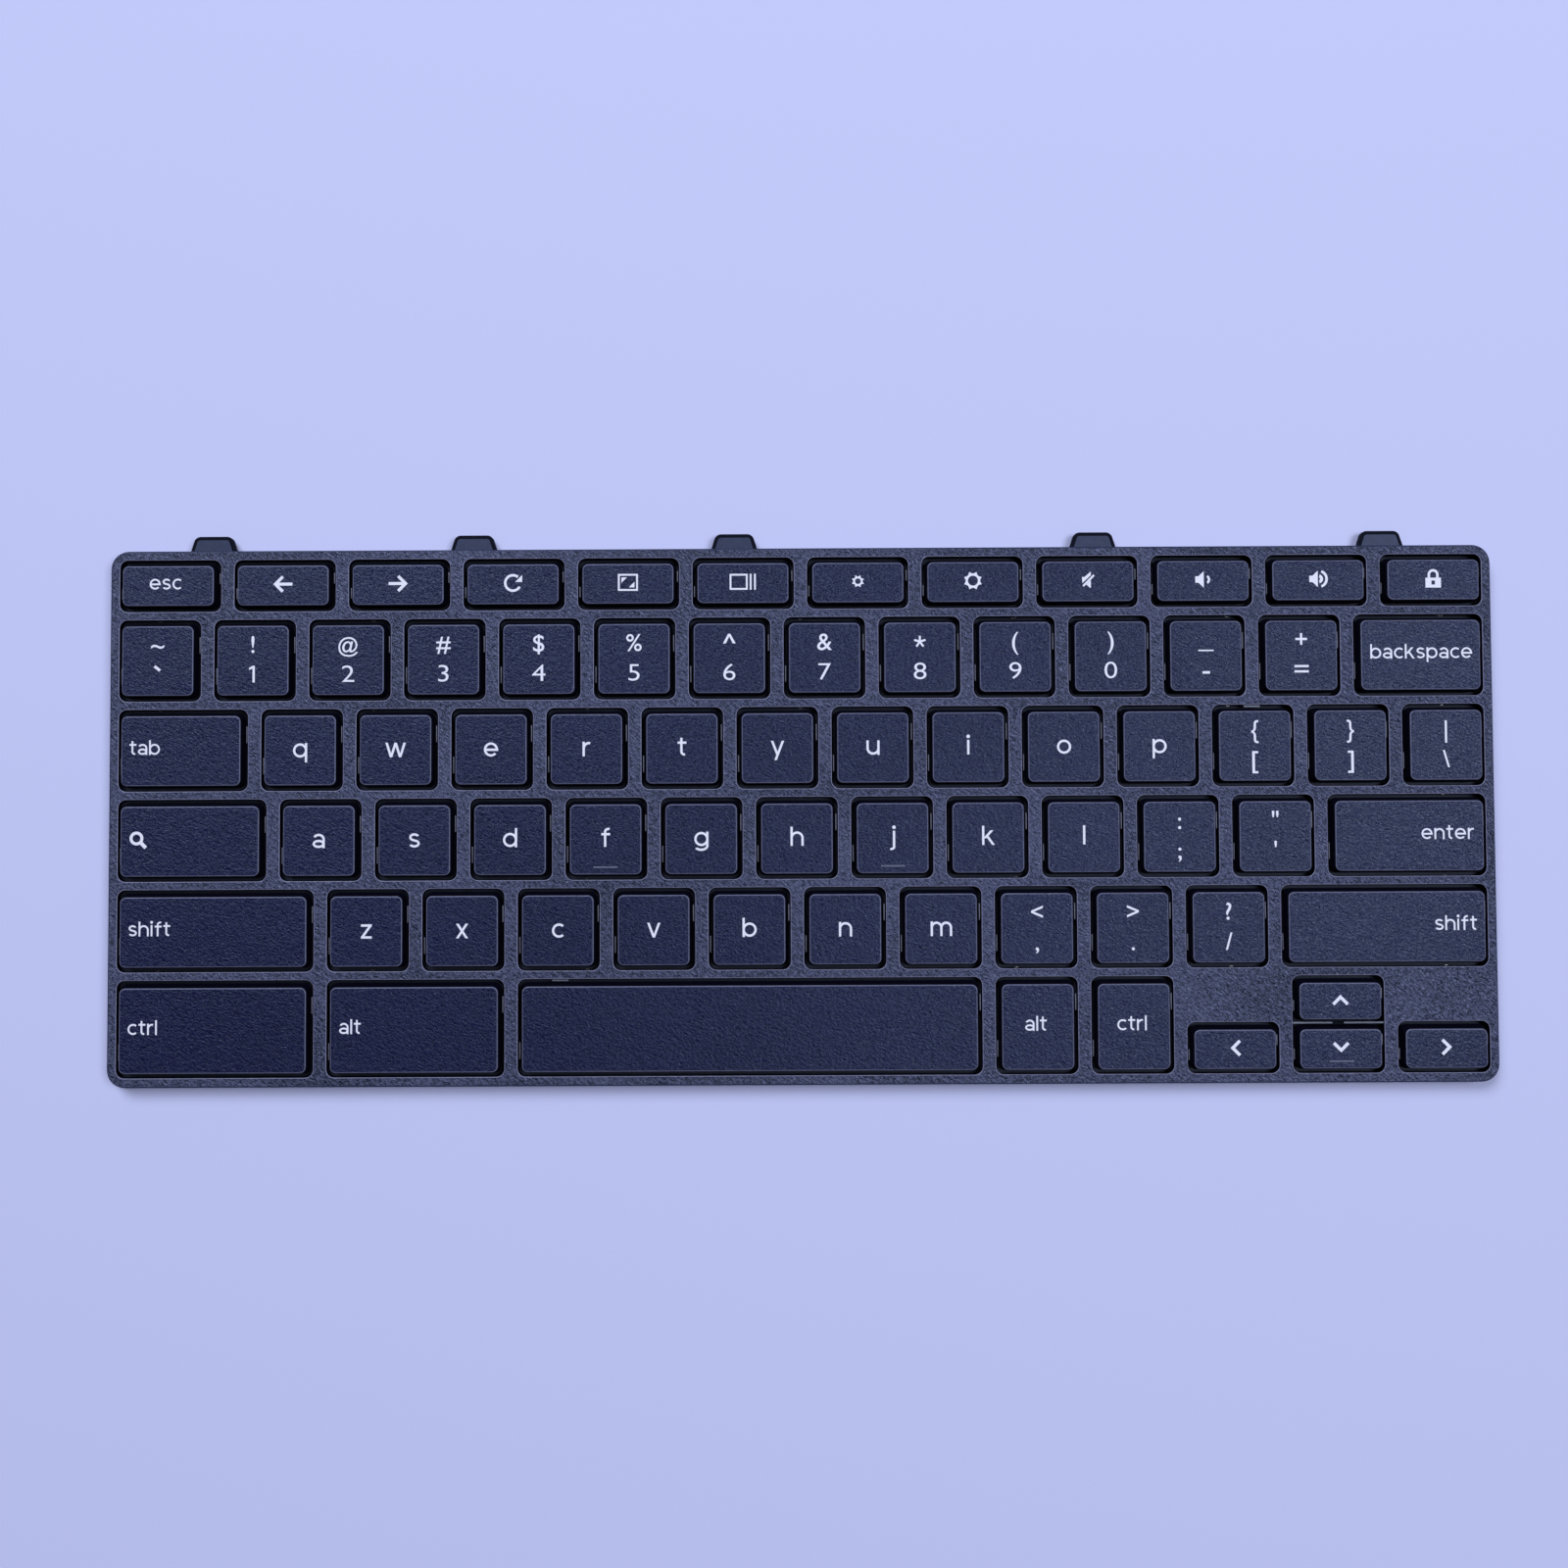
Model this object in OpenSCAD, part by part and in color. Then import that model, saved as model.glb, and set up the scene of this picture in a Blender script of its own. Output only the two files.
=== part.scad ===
// Laptop keyboard module: a moulded frame round 74 sprung keys on a steel back plate.
// X runs along the rows, Y towards the function row and Z up out of the keytops.
// The origin is at the middle of the whole outline, on the surface that the module lies on.

/* [Key layout] */
// Sideways pitch of one key unit
pitch_x = 19; // [18.6:0.1:20]
// Pitch of the letter rows
pitch_y = 18; // [17.6:0.1:19.5]
// Frame bar between two keys of a row
bar_x = 2.85; // [2.5:0.05:3.2]
// Frame bar between two rows
bar_y = 1.85; // [1.75:0.05:2.2]
// Height of the openings in the function row
fn_open = 10.2; // [10:0.1:13]
// Height of the openings in the bottom row
bottom_open = 19.1; // [18.9:0.1:21]
// Height of the openings of the left and right arrow keys
arrow_open = 9.95; // [9.7:0.05:10.2]

/* [Frame] */
// Thickness of the frame's top plate
plate_t = 1.2; // [1:0.1:1.4]
// Frame beside the outer keys
side_margin = 1.95; // [1.8:0.05:4]
// Frame above the function row
top_margin = 1.95; // [1.8:0.05:4]
// Frame below the bottom row
bottom_margin = 2.05; // [1.8:0.05:4]
// Thickness of the wall round the back plate
rim_t = 1.2; // [1:0.05:1.4]
// Radius of the frame's outer corners
frame_r = 3.6; // [2.5:0.1:4]
// Radius of the corners of the key openings
open_r = 1.5; // [0.8:0.1:1.8]
// How far the centring nubs stand out of the walls of the openings
nub_out = 0.4; // [0.2:0.05:0.45]
// Length of a centring nub on the letter keys
nub_len = 3.3; // [2:0.1:4]
// Height left bare above a centring nub
nub_drop = 0.2; // [0.1:0.05:0.4]
// Thickness of the rib between the up and down arrow keycaps
rib_w = 0.4; // [0.3:0.05:0.45]
// Diameter of the stakes that hold the back plate
stake_d = 1.3; // [1:0.1:1.4]
// Diameter of the melted head of a stake
stake_head_d = 2.3; // [1.8:0.1:2.6]
// Stakes in each bar between two rows
stakes = 7; // [5:1:9]

/* [Tongues] */
// Width of a tongue where it leaves the frame
tongue_w = 9.3; // [7:0.1:12]
// How far a tongue reaches out of the frame
tongue_out = 3.1; // [2.5:0.1:4.5]
// How much narrower a tongue is at its end
tongue_draft = 2; // [1:0.1:3]
// Radius of a tongue's outer corners
tongue_r = 1.2; // [0.4:0.1:1.4]
// Thickness of a tongue's edge
tongue_t = 1; // [0.8:0.1:1.2]
// Width of the lowered border of a tongue
tongue_border = 0.65; // [0.4:0.05:0.8]
// Height of a tongue's raised face over its border
tongue_step = 0.25; // [0.15:0.05:0.35]

/* [Keycaps] */
// Travel of a key
travel = 1.5; // [1.2:0.1:1.7]
// Height of the keytops above the frame
cap_rise = 1.3; // [1:0.1:1.5]
// Thickness of a keytop
cap_t = 0.85; // [0.7:0.05:1]
// Thickness of a keycap's walls at their foot
cap_wall = 0.8; // [0.6:0.05:0.9]
// Gap between a keycap's foot and the walls of its opening
key_gap = 0.6; // [0.6:0.05:0.8]
// Gap between the feet of the up and down arrow keycaps
arrow_gap = 0.9; // [0.7:0.05:1]
// How much a keycap's walls lean in, at each side
cap_taper = 0.3; // [0.1:0.05:0.4]
// Bevel round a keytop
cap_bevel = 0.25; // [0.1:0.05:0.35]
// Radius of a keycap's corners at its foot
cap_r = 1.25; // [1:0.05:1.5]
// Length of the finding bar on a keytop
homing_len = 5; // [3:0.5:7]
// Width of the finding bar
homing_w = 0.5; // [0.3:0.05:0.7]
// Height of the finding bar
homing_h = 0.2; // [0.1:0.05:0.3]
// Height of the finding bar's middle above the keytop's lower edge
homing_up = 1.5; // [1:0.1:2]

/* [Back plate and switches] */
// Thickness of the steel back plate
steel_t = 0.5; // [0.4:0.05:0.6]
// Thickness of the switch membrane
film_t = 0.25; // [0.2:0.05:0.4]
// Thickness of the hooks on the plate and of the brackets under the keytops
hook_t = 0.4; // [0.3:0.05:0.5]
// Wall of a rubber dome
dome_wall = 0.3; // [0.2:0.05:0.4]
// Width of the ribbon slot in the back plate
ribbon_w = 14; // [8:1:20]
// Height of the ribbon slot
ribbon_h = 1.4; // [1:0.1:1.6]

/* [Scissor arms and wires] */
// Diameter of the arms' round bars and of the stabiliser wires
pin_d = 0.8; // [0.7:0.05:0.9]
// Distance of the outer arm's bars from the middle of the key
reach_out = 4.1; // [4:0.05:4.3]
// Distance of the inner arm's bars from the middle of the key
reach_in = 3.1; // [3:0.05:3.2]
// Half the width of the outer arm on a tall key
arm_half = 4.7; // [4.4:0.1:5]
// Half the width of the outer arm on a low key
arm_half_low = 2.5; // [2.4:0.05:2.6]
// Diameter of the stub at the crossing of the arms
stub_d = 0.45; // [0.35:0.05:0.55]
// Length of a stabiliser wire's lever
lever = 7.5; // [7:0.1:8]
// Width of a clip that holds a wire under a keytop
wire_clip_w = 1.2; // [1:0.1:1.6]
// Gap between a moving pin and what guides it
pin_fit = 0.15; // [0.1:0.01:0.2]

/* [Hidden] */
$fn = 32;
over = 0.2;      // how deep joined forms run into each other
shim = 0.15;     // free gap round things that pass each other
row_units = 14.5;

// Key widths in units, from the bottom row to the function row
function ones(n) = [for (i = [1:n]) 1];
units = [
    [2.2, 2, 5, 1, 1, 1.1, 1.1, 1.1],
    concat([2.2], ones(10), [2.3]),
    concat([1.7], ones(11), [1.8]),
    concat([1.5], ones(13)),
    concat(ones(13), [1.5]),
    [for (i = [1:12]) row_units / 12]
];
names = [
    ["left_ctrl", "left_alt", "space", "right_alt", "right_ctrl", "arrow_left", "arrow_down", "arrow_right"],
    ["left_shift", "z", "x", "c", "v", "b", "n", "m", "comma", "period", "slash", "right_shift"],
    ["search", "a", "s", "d", "f", "g", "h", "j", "k", "l", "semicolon", "quote", "enter"],
    ["tab", "q", "w", "e", "r", "t", "y", "u", "i", "o", "p", "left_bracket", "right_bracket", "backslash"]
];
wired = ["space", "left_shift", "right_shift", "enter", "left_ctrl", "left_alt"];
homing = ["f", "j", "arrow_down"];
tongue_at = [0.073, 0.2625, 0.452, 0.713, 0.922];   // along the frame's width, from its left end

// Outline of the frame
letter_open = pitch_y - bar_y;
frame_w = row_units * pitch_x - bar_x + 2 * side_margin;
frame_h = bottom_margin + bottom_open + 4 * pitch_y + bar_y + fn_open + top_margin;
frame_x = -frame_w / 2;
frame_y = -(frame_h + tongue_out) / 2;
frame_cy = frame_y + frame_h / 2;

// Heights, from the back plate up
film_z = steel_t + film_t;
low_z = film_z + shim + pin_d / 2;                  // lower pins
lip_z = low_z + pin_d / 2 + pin_fit;                // underside of the plate's hooks
lip_top = lip_z + hook_t;
cap_under = lip_top + shim + travel;                // underside of a keytop
cap_top = cap_under + cap_t;
frame_top = cap_top - cap_rise;
frame_under = frame_top - plate_t;
foot_z = film_z + shim + travel;                    // foot of a keycap's walls
high_z = foot_z + hook_t + pin_fit + pin_d / 2;     // upper pins
mid_z = (low_z + high_z) / 2;
rise = high_z - low_z;
tongue_z = frame_under - tongue_t;

function sum(v, n) = n < 1 ? 0 : v[n - 1] + sum(v, n - 1);
function row_h(r) = r == 0 ? bottom_open : r == 5 ? fn_open : letter_open;
function row_y(r) = r == 0 ? frame_y + bottom_margin : row_y(r - 1) + row_h(r - 1) + bar_y;
function is_in(name, list) = len([for (n = list) if (n == name) n]) > 0;
function is_half(r, i) = r == 0 && (i == 5 || i == 7);

// An opening as [middle x, middle y, width, height]
function opening(r, i) =
    let (w = units[r][i] * pitch_x - bar_x, h = is_half(r, i) ? arrow_open : row_h(r))
    [frame_x + side_margin + sum(units[r], i) * pitch_x + w / 2, row_y(r) + h / 2, w, h];

// A keycap's foot as [middle x, middle y, width, height]
low_cap_h = arrow_open - 2 * key_gap;
up_cap_h = bottom_open - 2 * key_gap - arrow_gap - low_cap_h;
function cap_in(o) = [o[0], o[1], o[2] - 2 * key_gap, o[3] - 2 * key_gap];
function cap(r, i) =
    let (c = cap_in(opening(r, i)))
    r == 0 && i == 6 ? [c[0], row_y(0) + key_gap + low_cap_h / 2, c[2], low_cap_h] : c;
up_cap = let (c = cap(0, 6)) [c[0], c[1] + (low_cap_h + up_cap_h) / 2 + arrow_gap, c[2], up_cap_h];

moving_caps = concat(
    [for (r = [0:3], i = [0:len(units[r]) - 1]) [names[r][i], cap(r, i)]],
    [["arrow_up", up_cap]]
);
upper_caps = [for (r = [4, 5], i = [0:len(units[r]) - 1]) ["", cap(r, i)]];
all_caps = concat(moving_caps, upper_caps);
openings = [for (r = [0:5], i = [0:len(units[r]) - 1]) opening(r, i)];

// The up and down arrow keycaps share an opening, with a rib between them
rib_y = row_y(0) + key_gap + low_cap_h + arrow_gap / 2;
arrow_halves = let (o = opening(0, 6), h = up_cap_h + 2 * key_gap) [
    [o[0], row_y(0) + arrow_open / 2, o[2], arrow_open],
    [o[0], row_y(0) + bottom_open - h / 2, o[2], h]
];
nub_openings = concat([for (o = openings) if (o != opening(0, 6)) o], arrow_halves);

// A rectangle with true round corners
module rounded(w, h, r) {
    square([w - 2 * r, h], center = true);
    square([w, h - 2 * r], center = true);
    for (x = [-1, 1], y = [-1, 1])
        translate([x * (w / 2 - r), y * (h / 2 - r)]) circle(r);
}

// A profile drawn in Y and Z, stretched along X
module along_x(w) {
    rotate([90, 0, 90]) linear_extrude(w, center = true) children();
}

module bar_x_round(len, d) {
    rotate([0, 90, 0]) cylinder(h = len, d = d, center = true);
}

// A leg with a lip at its end: the leg stands at y = 0 and the lip points to +y
module hook(len, height, w) {
    along_x(w) polygon([
        [0, 0], [hook_t, 0], [hook_t, height - hook_t], [len, height - hook_t], [len, height], [0, height]
    ]);
}

// Where the scissor of a keycap stands: low keycaps carry a narrow one, turned a quarter
function is_low(c) = c[3] < 2 * (arm_half + 1);
module at_scissor(c) {
    translate([c[0], c[1], 0]) rotate([0, 0, is_low(c) ? 90 : 0]) children();
}
function half_w(c) = is_low(c) ? arm_half_low : arm_half;
function side_w(c) = is_low(c) ? 0.55 : 0.8;
function inner_w(c) = half_w(c) - side_w(c) - shim;             // half the width of the inner arm
function hook_w(c) = is_low(c) ? 0.8 : 1.2;
function hook_x(c) = (inner_w(c) - side_w(c)) / 2;

// Places of the plate's hooks: the pivot hooks hold the inner arm, the slide hooks the outer one
slide = 0.35;
tilt_out = asin(rise / (2 * reach_out));
tilt_in = asin(rise / (2 * reach_in));
out_y = reach_out * cos(tilt_out);      // the outer arm's bars, with the key at rest
in_y = reach_in * cos(tilt_in);         // the inner arm's bars, with the key at rest
pivot_y = -(in_y + pin_d / 2 + pin_fit + hook_t);
slide_y = reach_out + pin_d / 2 + slide + hook_t;
pivot_len = hook_t + pin_fit + pin_d * 0.75;
slide_len = hook_t + slide + pin_d * 0.75;

// The stabiliser wire: its long run turns under the keytop and its ends slide in the plate
wire_y = slide_y + pin_fit + pin_d / 2;
wire_tilt = asin(rise / lever);
wire_end_y = wire_y - lever * cos(wire_tilt);
function wire_x(c) = c[2] / 2 - cap_wall - 2.4;
wire_foot = 2;
wire_hook_y = wire_end_y - pin_d / 2 - slide - hook_t;

/* The frame */
module nub_set(o) {
    tall = o[3] > letter_open - 0.01;
    len = tall ? nub_len : nub_len * 0.65;
    down = tall ? nub_len * 1.5 : nub_len * 1.08;
    for (s = [-1, 1])
        translate([o[0] + s * (o[2] / 2 - (nub_out - over) / 2), o[1] + s * (o[3] / 2 - down)])
            square([nub_out + over, len], center = true);
}

// A nub on the far wall of an opening, at a share of its width from its middle
module far_nub(o, share) {
    translate([o[0] + share * o[2], o[1] + (o[3] - nub_out + over) / 2])
        square([nub_len, nub_out + over], center = true);
}

module stake_places() {
    for (r = [1:5], i = [0:stakes - 1])
        translate([(i / (stakes - 1) - 0.5) * (frame_w - 5 * frame_r), row_y(r) - bar_y / 2, 0]) children();
}

// One tongue's outline, drawn inwards by inset
module tongue_shape(inset) {
    half = tongue_w / 2 - inset;
    end = tongue_out - inset;
    lean = atan(tongue_draft / 2 / tongue_out);
    mid_x = half - (end - tongue_r) * tan(lean) - tongue_r / cos(lean);
    polygon([
        [-half - over * tan(lean), -over], [half + over * tan(lean), -over],
        [mid_x + tongue_r * cos(lean), end - tongue_r + tongue_r * sin(lean)],
        [mid_x, end], [-mid_x, end],
        [-mid_x - tongue_r * cos(lean), end - tongue_r + tongue_r * sin(lean)]
    ]);
    for (s = [-1, 1]) translate([s * mid_x, end - tongue_r]) circle(tongue_r);
}

module tongues() {
    for (a = tongue_at)
        translate([frame_x + a * frame_w, frame_y + frame_h, tongue_z]) {
            linear_extrude(tongue_t) tongue_shape(0);
            linear_extrude(tongue_t + tongue_step) tongue_shape(tongue_border);
        }
}

module stake() {
    sink = (stake_head_d - stake_d) / 2;
    cylinder(h = frame_under + over, d = stake_d);
    cylinder(h = min(sink, steel_t * 0.8), d1 = stake_head_d, d2 = stake_d);
}

module bezel() {
    color([0.27, 0.28, 0.41]) {
        translate([0, frame_cy, frame_under]) linear_extrude(plate_t) difference() {
            rounded(frame_w, frame_h, frame_r);
            for (o = openings) translate([o[0], o[1] - frame_cy]) rounded(o[2], o[3], open_r);
        }
        translate([0, 0, frame_under]) linear_extrude(plate_t - nub_drop) {
            for (o = nub_openings) nub_set(o);
            far_nub(opening(3, 11), 0);
            far_nub(opening(0, 2), -0.41);
            translate([opening(0, 6)[0], rib_y]) square([opening(0, 6)[2] + 2 * over, rib_w], center = true);
        }
        translate([0, frame_cy, 0]) linear_extrude(frame_under + over) difference() {
            rounded(frame_w, frame_h, frame_r);
            rounded(frame_w - 2 * rim_t, frame_h - 2 * rim_t, frame_r - rim_t);
        }
        tongues();
        stake_places() stake();
    }
}

/* The back plate and what lies on it */
module plate_outline(back) {
    rounded(frame_w - 2 * (rim_t + back), frame_h - 2 * (rim_t + back), frame_r - rim_t - back);
}

// Windows left by the lanced hooks, or with grow the holes in the film round the hooks
module hook_windows(c, grow) {
    x = hook_x(c);
    w = hook_w(c) + 2 * grow;
    from = grow > 0 ? -grow : hook_t;
    for (s = [-1, 1]) {
        translate([s * x - w / 2, pivot_y + from]) square([w, pivot_len + grow - from]);
        translate([s * x - w / 2, slide_y - slide_len - grow]) square([w, slide_len + grow - from]);
    }
}

module wire_windows(c, grow) {
    w = wire_foot * 0.6 + 2 * grow;
    from = grow > 0 ? -grow : hook_t;
    for (s = [-1, 1])
        translate([c[0] + s * (wire_x(c) - wire_foot * 0.6) - w / 2, c[1] + wire_hook_y + from])
            square([w, slide_len + grow - from]);
}

module all_windows(grow) {
    for (k = all_caps) {
        at_scissor(k[1]) hook_windows(k[1], grow);
        if (is_in(k[0], wired)) wire_windows(k[1], grow);
    }
}

module plate_hooks(c) {
    from = steel_t / 2;
    for (s = [-1, 1]) {
        translate([s * hook_x(c), pivot_y, from]) hook(pivot_len, lip_top - from, hook_w(c));
        translate([s * hook_x(c), slide_y, from]) mirror([0, 1, 0]) hook(slide_len, lip_top - from, hook_w(c));
    }
}

module wire_hooks(c) {
    from = steel_t / 2;
    for (s = [-1, 1])
        translate([c[0] + s * (wire_x(c) - wire_foot * 0.6), c[1] + wire_hook_y, from])
            hook(slide_len, lip_top - from, wire_foot * 0.6);
}

module back_plate() {
    color([0.55, 0.56, 0.6]) {
        difference() {
            linear_extrude(steel_t) difference() {
                translate([0, frame_cy]) plate_outline(shim);
                all_windows(0);
                translate([frame_w / 12, row_y(3) - bar_y / 2]) square([ribbon_w, ribbon_h], center = true);
            }
            stake_places() {
                translate([0, 0, -over]) cylinder(h = steel_t + 2 * over, d = stake_d + 2 * shim);
                translate([0, 0, -over])
                    cylinder(h = steel_t * 0.8 + over, d1 = stake_head_d + 2 * (shim + over), d2 = stake_d + 2 * shim);
            }
        }
        for (k = all_caps) {
            at_scissor(k[1]) plate_hooks(k[1]);
            if (is_in(k[0], wired)) wire_hooks(k[1]);
        }
    }
}

module membrane() {
    color([0.8, 0.83, 0.8]) translate([0, 0, steel_t]) linear_extrude(film_t) difference() {
        translate([0, frame_cy]) plate_outline(2 * shim);
        all_windows(shim);
        stake_places() circle(d = stake_d + 4 * shim);
    }
}

// A rubber dome: a hollow cup that carries the keytop
module dome(low) {
    foot = low ? 1.9 : 2.4;
    waist = low ? 1.05 : 1.6;
    knee = (film_z + mid_z) / 2 - film_z;
    top = cap_under - shim - film_z;
    rotate_extrude() polygon([
        [foot - dome_wall, 0], [foot + 0.2, 0], [foot + 0.2, 0.12], [foot, 0.12],
        [waist, knee], [waist * 0.9, top], [0, top], [0, top - 2 * dome_wall],
        [waist * 0.9 - dome_wall, top - 2 * dome_wall], [waist - dome_wall, knee]
    ]);
}

module rubber_domes() {
    color([0.75, 0.77, 0.74])
        for (k = all_caps) translate([k[1][0], k[1][1], film_z]) dome(is_low(k[1]));
}

/* The scissors */
module outer_arm(c) {
    a = half_w(c);
    w = side_w(c);
    translate([0, 0, mid_z]) rotate([-tilt_out, 0, 0]) {
        difference() {
            for (s = [-1, 1]) translate([s * (a - w / 2), 0, 0]) {
                cube([w, 2 * reach_out, pin_d * 0.8], center = true);
                bar_x_round(w, pin_d * 1.5);
            }
            bar_x_round(2 * a + 1, stub_d + 2 * shim);
        }
        translate([0, reach_out, 0]) bar_x_round(2 * a, pin_d);
        for (s = [-1, 1])
            translate([s * (a - w / 2 + 0.35), -reach_out, 0]) bar_x_round(w + 0.7, pin_d);
    }
}

module inner_arm(c) {
    a = inner_w(c);
    w = side_w(c);
    translate([0, 0, mid_z]) rotate([tilt_in, 0, 0]) {
        for (s = [-1, 1]) {
            translate([s * (a - w / 2), 0, 0]) cube([w, 2 * reach_in, pin_d * 0.8], center = true);
            translate([s * (a + shim + w / 2 - 0.1), 0, 0]) bar_x_round(w + 2 * shim + 0.2, stub_d);
            translate([0, s * reach_in, 0]) bar_x_round(2 * a, pin_d);
        }
    }
}

module scissor_arms() {
    color([0.85, 0.85, 0.87])
        for (k = all_caps) at_scissor(k[1]) {
            outer_arm(k[1]);
            inner_arm(k[1]);
        }
}

/* The keycaps */
function slab(w) =
    let (h = cap_top - foot_z)
    [[-w / 2, 0], [w / 2, 0], [w / 2 - cap_taper, h - cap_bevel], [w / 2 - cap_taper - cap_bevel, h],
     [-w / 2 + cap_taper + cap_bevel, h], [-w / 2 + cap_taper, h - cap_bevel]];

module cap_body(w, h) {
    hh = cap_top - foot_z;
    along_x(w - 2 * cap_r) polygon(slab(h));
    rotate([0, 0, 90]) along_x(h - 2 * cap_r) polygon(slab(w));
    for (a = [0:3])
        translate([(a == 0 || a == 3 ? 1 : -1) * (w / 2 - cap_r), (a < 2 ? 1 : -1) * (h / 2 - cap_r), 0])
            rotate([0, 0, 90 * a]) rotate_extrude(angle = 90) polygon([
                [0, 0], [cap_r, 0], [cap_r - cap_taper, hh - cap_bevel], [cap_r - cap_taper - cap_bevel, hh], [0, hh]
            ]);
}

// A block under the keytop with a bore that a round pin snaps into from below
module snap_clip(w, at_z) {
    block = pin_d + 2 * pin_fit + 2 * hook_t;
    under = pin_d * 0.44;
    difference() {
        translate([-w / 2, -block / 2, at_z - under]) cube([w, block, cap_under + over - at_z + under]);
        translate([0, 0, at_z]) bar_x_round(w + 1, pin_d + 2 * pin_fit);
    }
}

module cap_brackets(c) {
    from = foot_z + 0.02;
    clip = is_low(c) ? 0.5 : 0.8;
    for (s = [-1, 1]) {
        translate([s * (half_w(c) + 0.1 + clip / 2), -out_y, 0]) snap_clip(clip, high_z);
        translate([s * hook_x(c), in_y - pin_d / 2 - pin_fit - hook_t, cap_under + over]) mirror([0, 0, 1])
            hook(hook_t + pin_fit + pin_d + reach_in - in_y, cap_under + over - from, hook_w(c));
    }
}

module wire_clips(c) {
    runs = c[2] > 3 * pitch_x ? [-1, -0.5, 0.5, 1] : [-1, 1];
    for (s = runs) translate([s * (wire_x(c) - 2 * wire_clip_w), wire_y, 0]) snap_clip(wire_clip_w, high_z);
}

module keycap(name, c) {
    color([0.17, 0.19, 0.3]) {
        translate([c[0], c[1], foot_z]) difference() {
            cap_body(c[2], c[3]);
            translate([0, 0, -over]) linear_extrude(cap_under - foot_z + over)
                rounded(c[2] - 2 * cap_wall, c[3] - 2 * cap_wall, max(cap_r - cap_wall, 0.3));
        }
        at_scissor(c) cap_brackets(c);
        if (is_in(name, wired)) translate([c[0], c[1], 0]) wire_clips(c);
        if (is_in(name, homing))
            translate([c[0], c[1] - c[3] / 2 + cap_taper + homing_up, cap_top])
                cube([homing_len, homing_w, 2 * homing_h], center = true);
    }
}

module upper_row_keycaps() {
    for (k = upper_caps) keycap(k[0], k[1]);
}

/* The stabiliser wires */
module wire(c) {
    x = wire_x(c);
    color([0.7, 0.7, 0.72]) translate([c[0], c[1] + wire_y, high_z]) {
        bar_x_round(2 * x, pin_d);
        for (s = [-1, 1]) translate([s * x, 0, 0]) rotate([wire_tilt, 0, 0]) {
            sphere(d = pin_d);
            rotate([90, 0, 0]) cylinder(h = lever, d = pin_d);
            translate([0, -lever, 0]) sphere(d = pin_d);
            translate([-s * wire_foot / 2, -lever, 0]) bar_x_round(wire_foot, pin_d);
        }
    }
}

bezel();
back_plate();
membrane();
rubber_domes();
scissor_arms();
upper_row_keycaps();
for (k = moving_caps) keycap(k[0], k[1]);
for (k = moving_caps) if (is_in(k[0], wired)) wire(k[1]);
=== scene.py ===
# Laptop keyboard module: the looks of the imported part, seen from straight above.
import math

import bmesh
import bpy
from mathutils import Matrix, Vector


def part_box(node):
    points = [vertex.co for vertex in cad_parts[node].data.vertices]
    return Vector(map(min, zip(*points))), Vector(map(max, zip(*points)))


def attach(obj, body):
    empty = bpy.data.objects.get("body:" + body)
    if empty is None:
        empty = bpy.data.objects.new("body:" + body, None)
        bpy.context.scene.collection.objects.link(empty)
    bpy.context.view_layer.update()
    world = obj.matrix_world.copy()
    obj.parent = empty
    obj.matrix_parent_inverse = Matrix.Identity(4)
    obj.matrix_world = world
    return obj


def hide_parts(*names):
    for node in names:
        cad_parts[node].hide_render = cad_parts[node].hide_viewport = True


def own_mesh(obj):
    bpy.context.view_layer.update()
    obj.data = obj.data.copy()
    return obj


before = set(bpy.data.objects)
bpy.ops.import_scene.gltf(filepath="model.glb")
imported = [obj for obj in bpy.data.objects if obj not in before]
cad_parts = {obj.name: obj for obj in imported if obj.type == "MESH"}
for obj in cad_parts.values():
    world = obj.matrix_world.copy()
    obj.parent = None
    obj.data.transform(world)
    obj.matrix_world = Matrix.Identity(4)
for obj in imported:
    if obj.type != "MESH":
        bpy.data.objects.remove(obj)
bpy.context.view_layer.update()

print("packed frame loaded")

mm = 0.001
tiny = 0.01 * mm                    # two heights closer than this are the same
smoothAngle = math.radians(35)

# the camera, at the photo's angle

cameraView = {
    "place": (-3.21 * mm, -5.64 * mm, 316.3 * mm),
    "turn": (0.0330, 0.0010, -0.0049),
    "lens": 36,
    "sensor": 36,
    "nearest": 10 * mm,
}

bpy.ops.object.select_all(action="DESELECT")
bpy.ops.object.camera_add(location=cameraView["place"], rotation=cameraView["turn"])
camera = bpy.context.object
camera.name = "photoCamera"
camera.data.lens = cameraView["lens"]
camera.data.sensor_width = cameraView["sensor"]
camera.data.clip_start = cameraView["nearest"]
bpy.context.scene.camera = camera
bpy.context.scene.view_settings.view_transform = "Standard"
print("camera placed")


# picking things, editing them and putting them down

def only(*things):
    # leave just these selected, the first of them active
    bpy.ops.object.select_all(action="DESELECT")
    for thing in things:
        thing.select_set(True)
    bpy.context.view_layer.objects.active = things[0]


def startEdit(piece):
    only(piece)
    bpy.ops.object.mode_set(mode="EDIT")
    bpy.ops.mesh.select_mode(type="FACE")
    bpy.ops.mesh.select_all(action="DESELECT")


def endEdit():
    bpy.ops.object.mode_set(mode="OBJECT")


def pickFaces(piece, test):
    # test gets a face's middle and its normal
    bpy.ops.mesh.select_mode(type="FACE")
    bpy.ops.mesh.select_all(action="DESELECT")
    mesh = bmesh.from_edit_mesh(piece.data)
    mesh.normal_update()
    for face in mesh.faces:
        if test(face.calc_center_median(), face.normal):
            face.select_set(True)
    bmesh.update_edit_mesh(piece.data)


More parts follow.
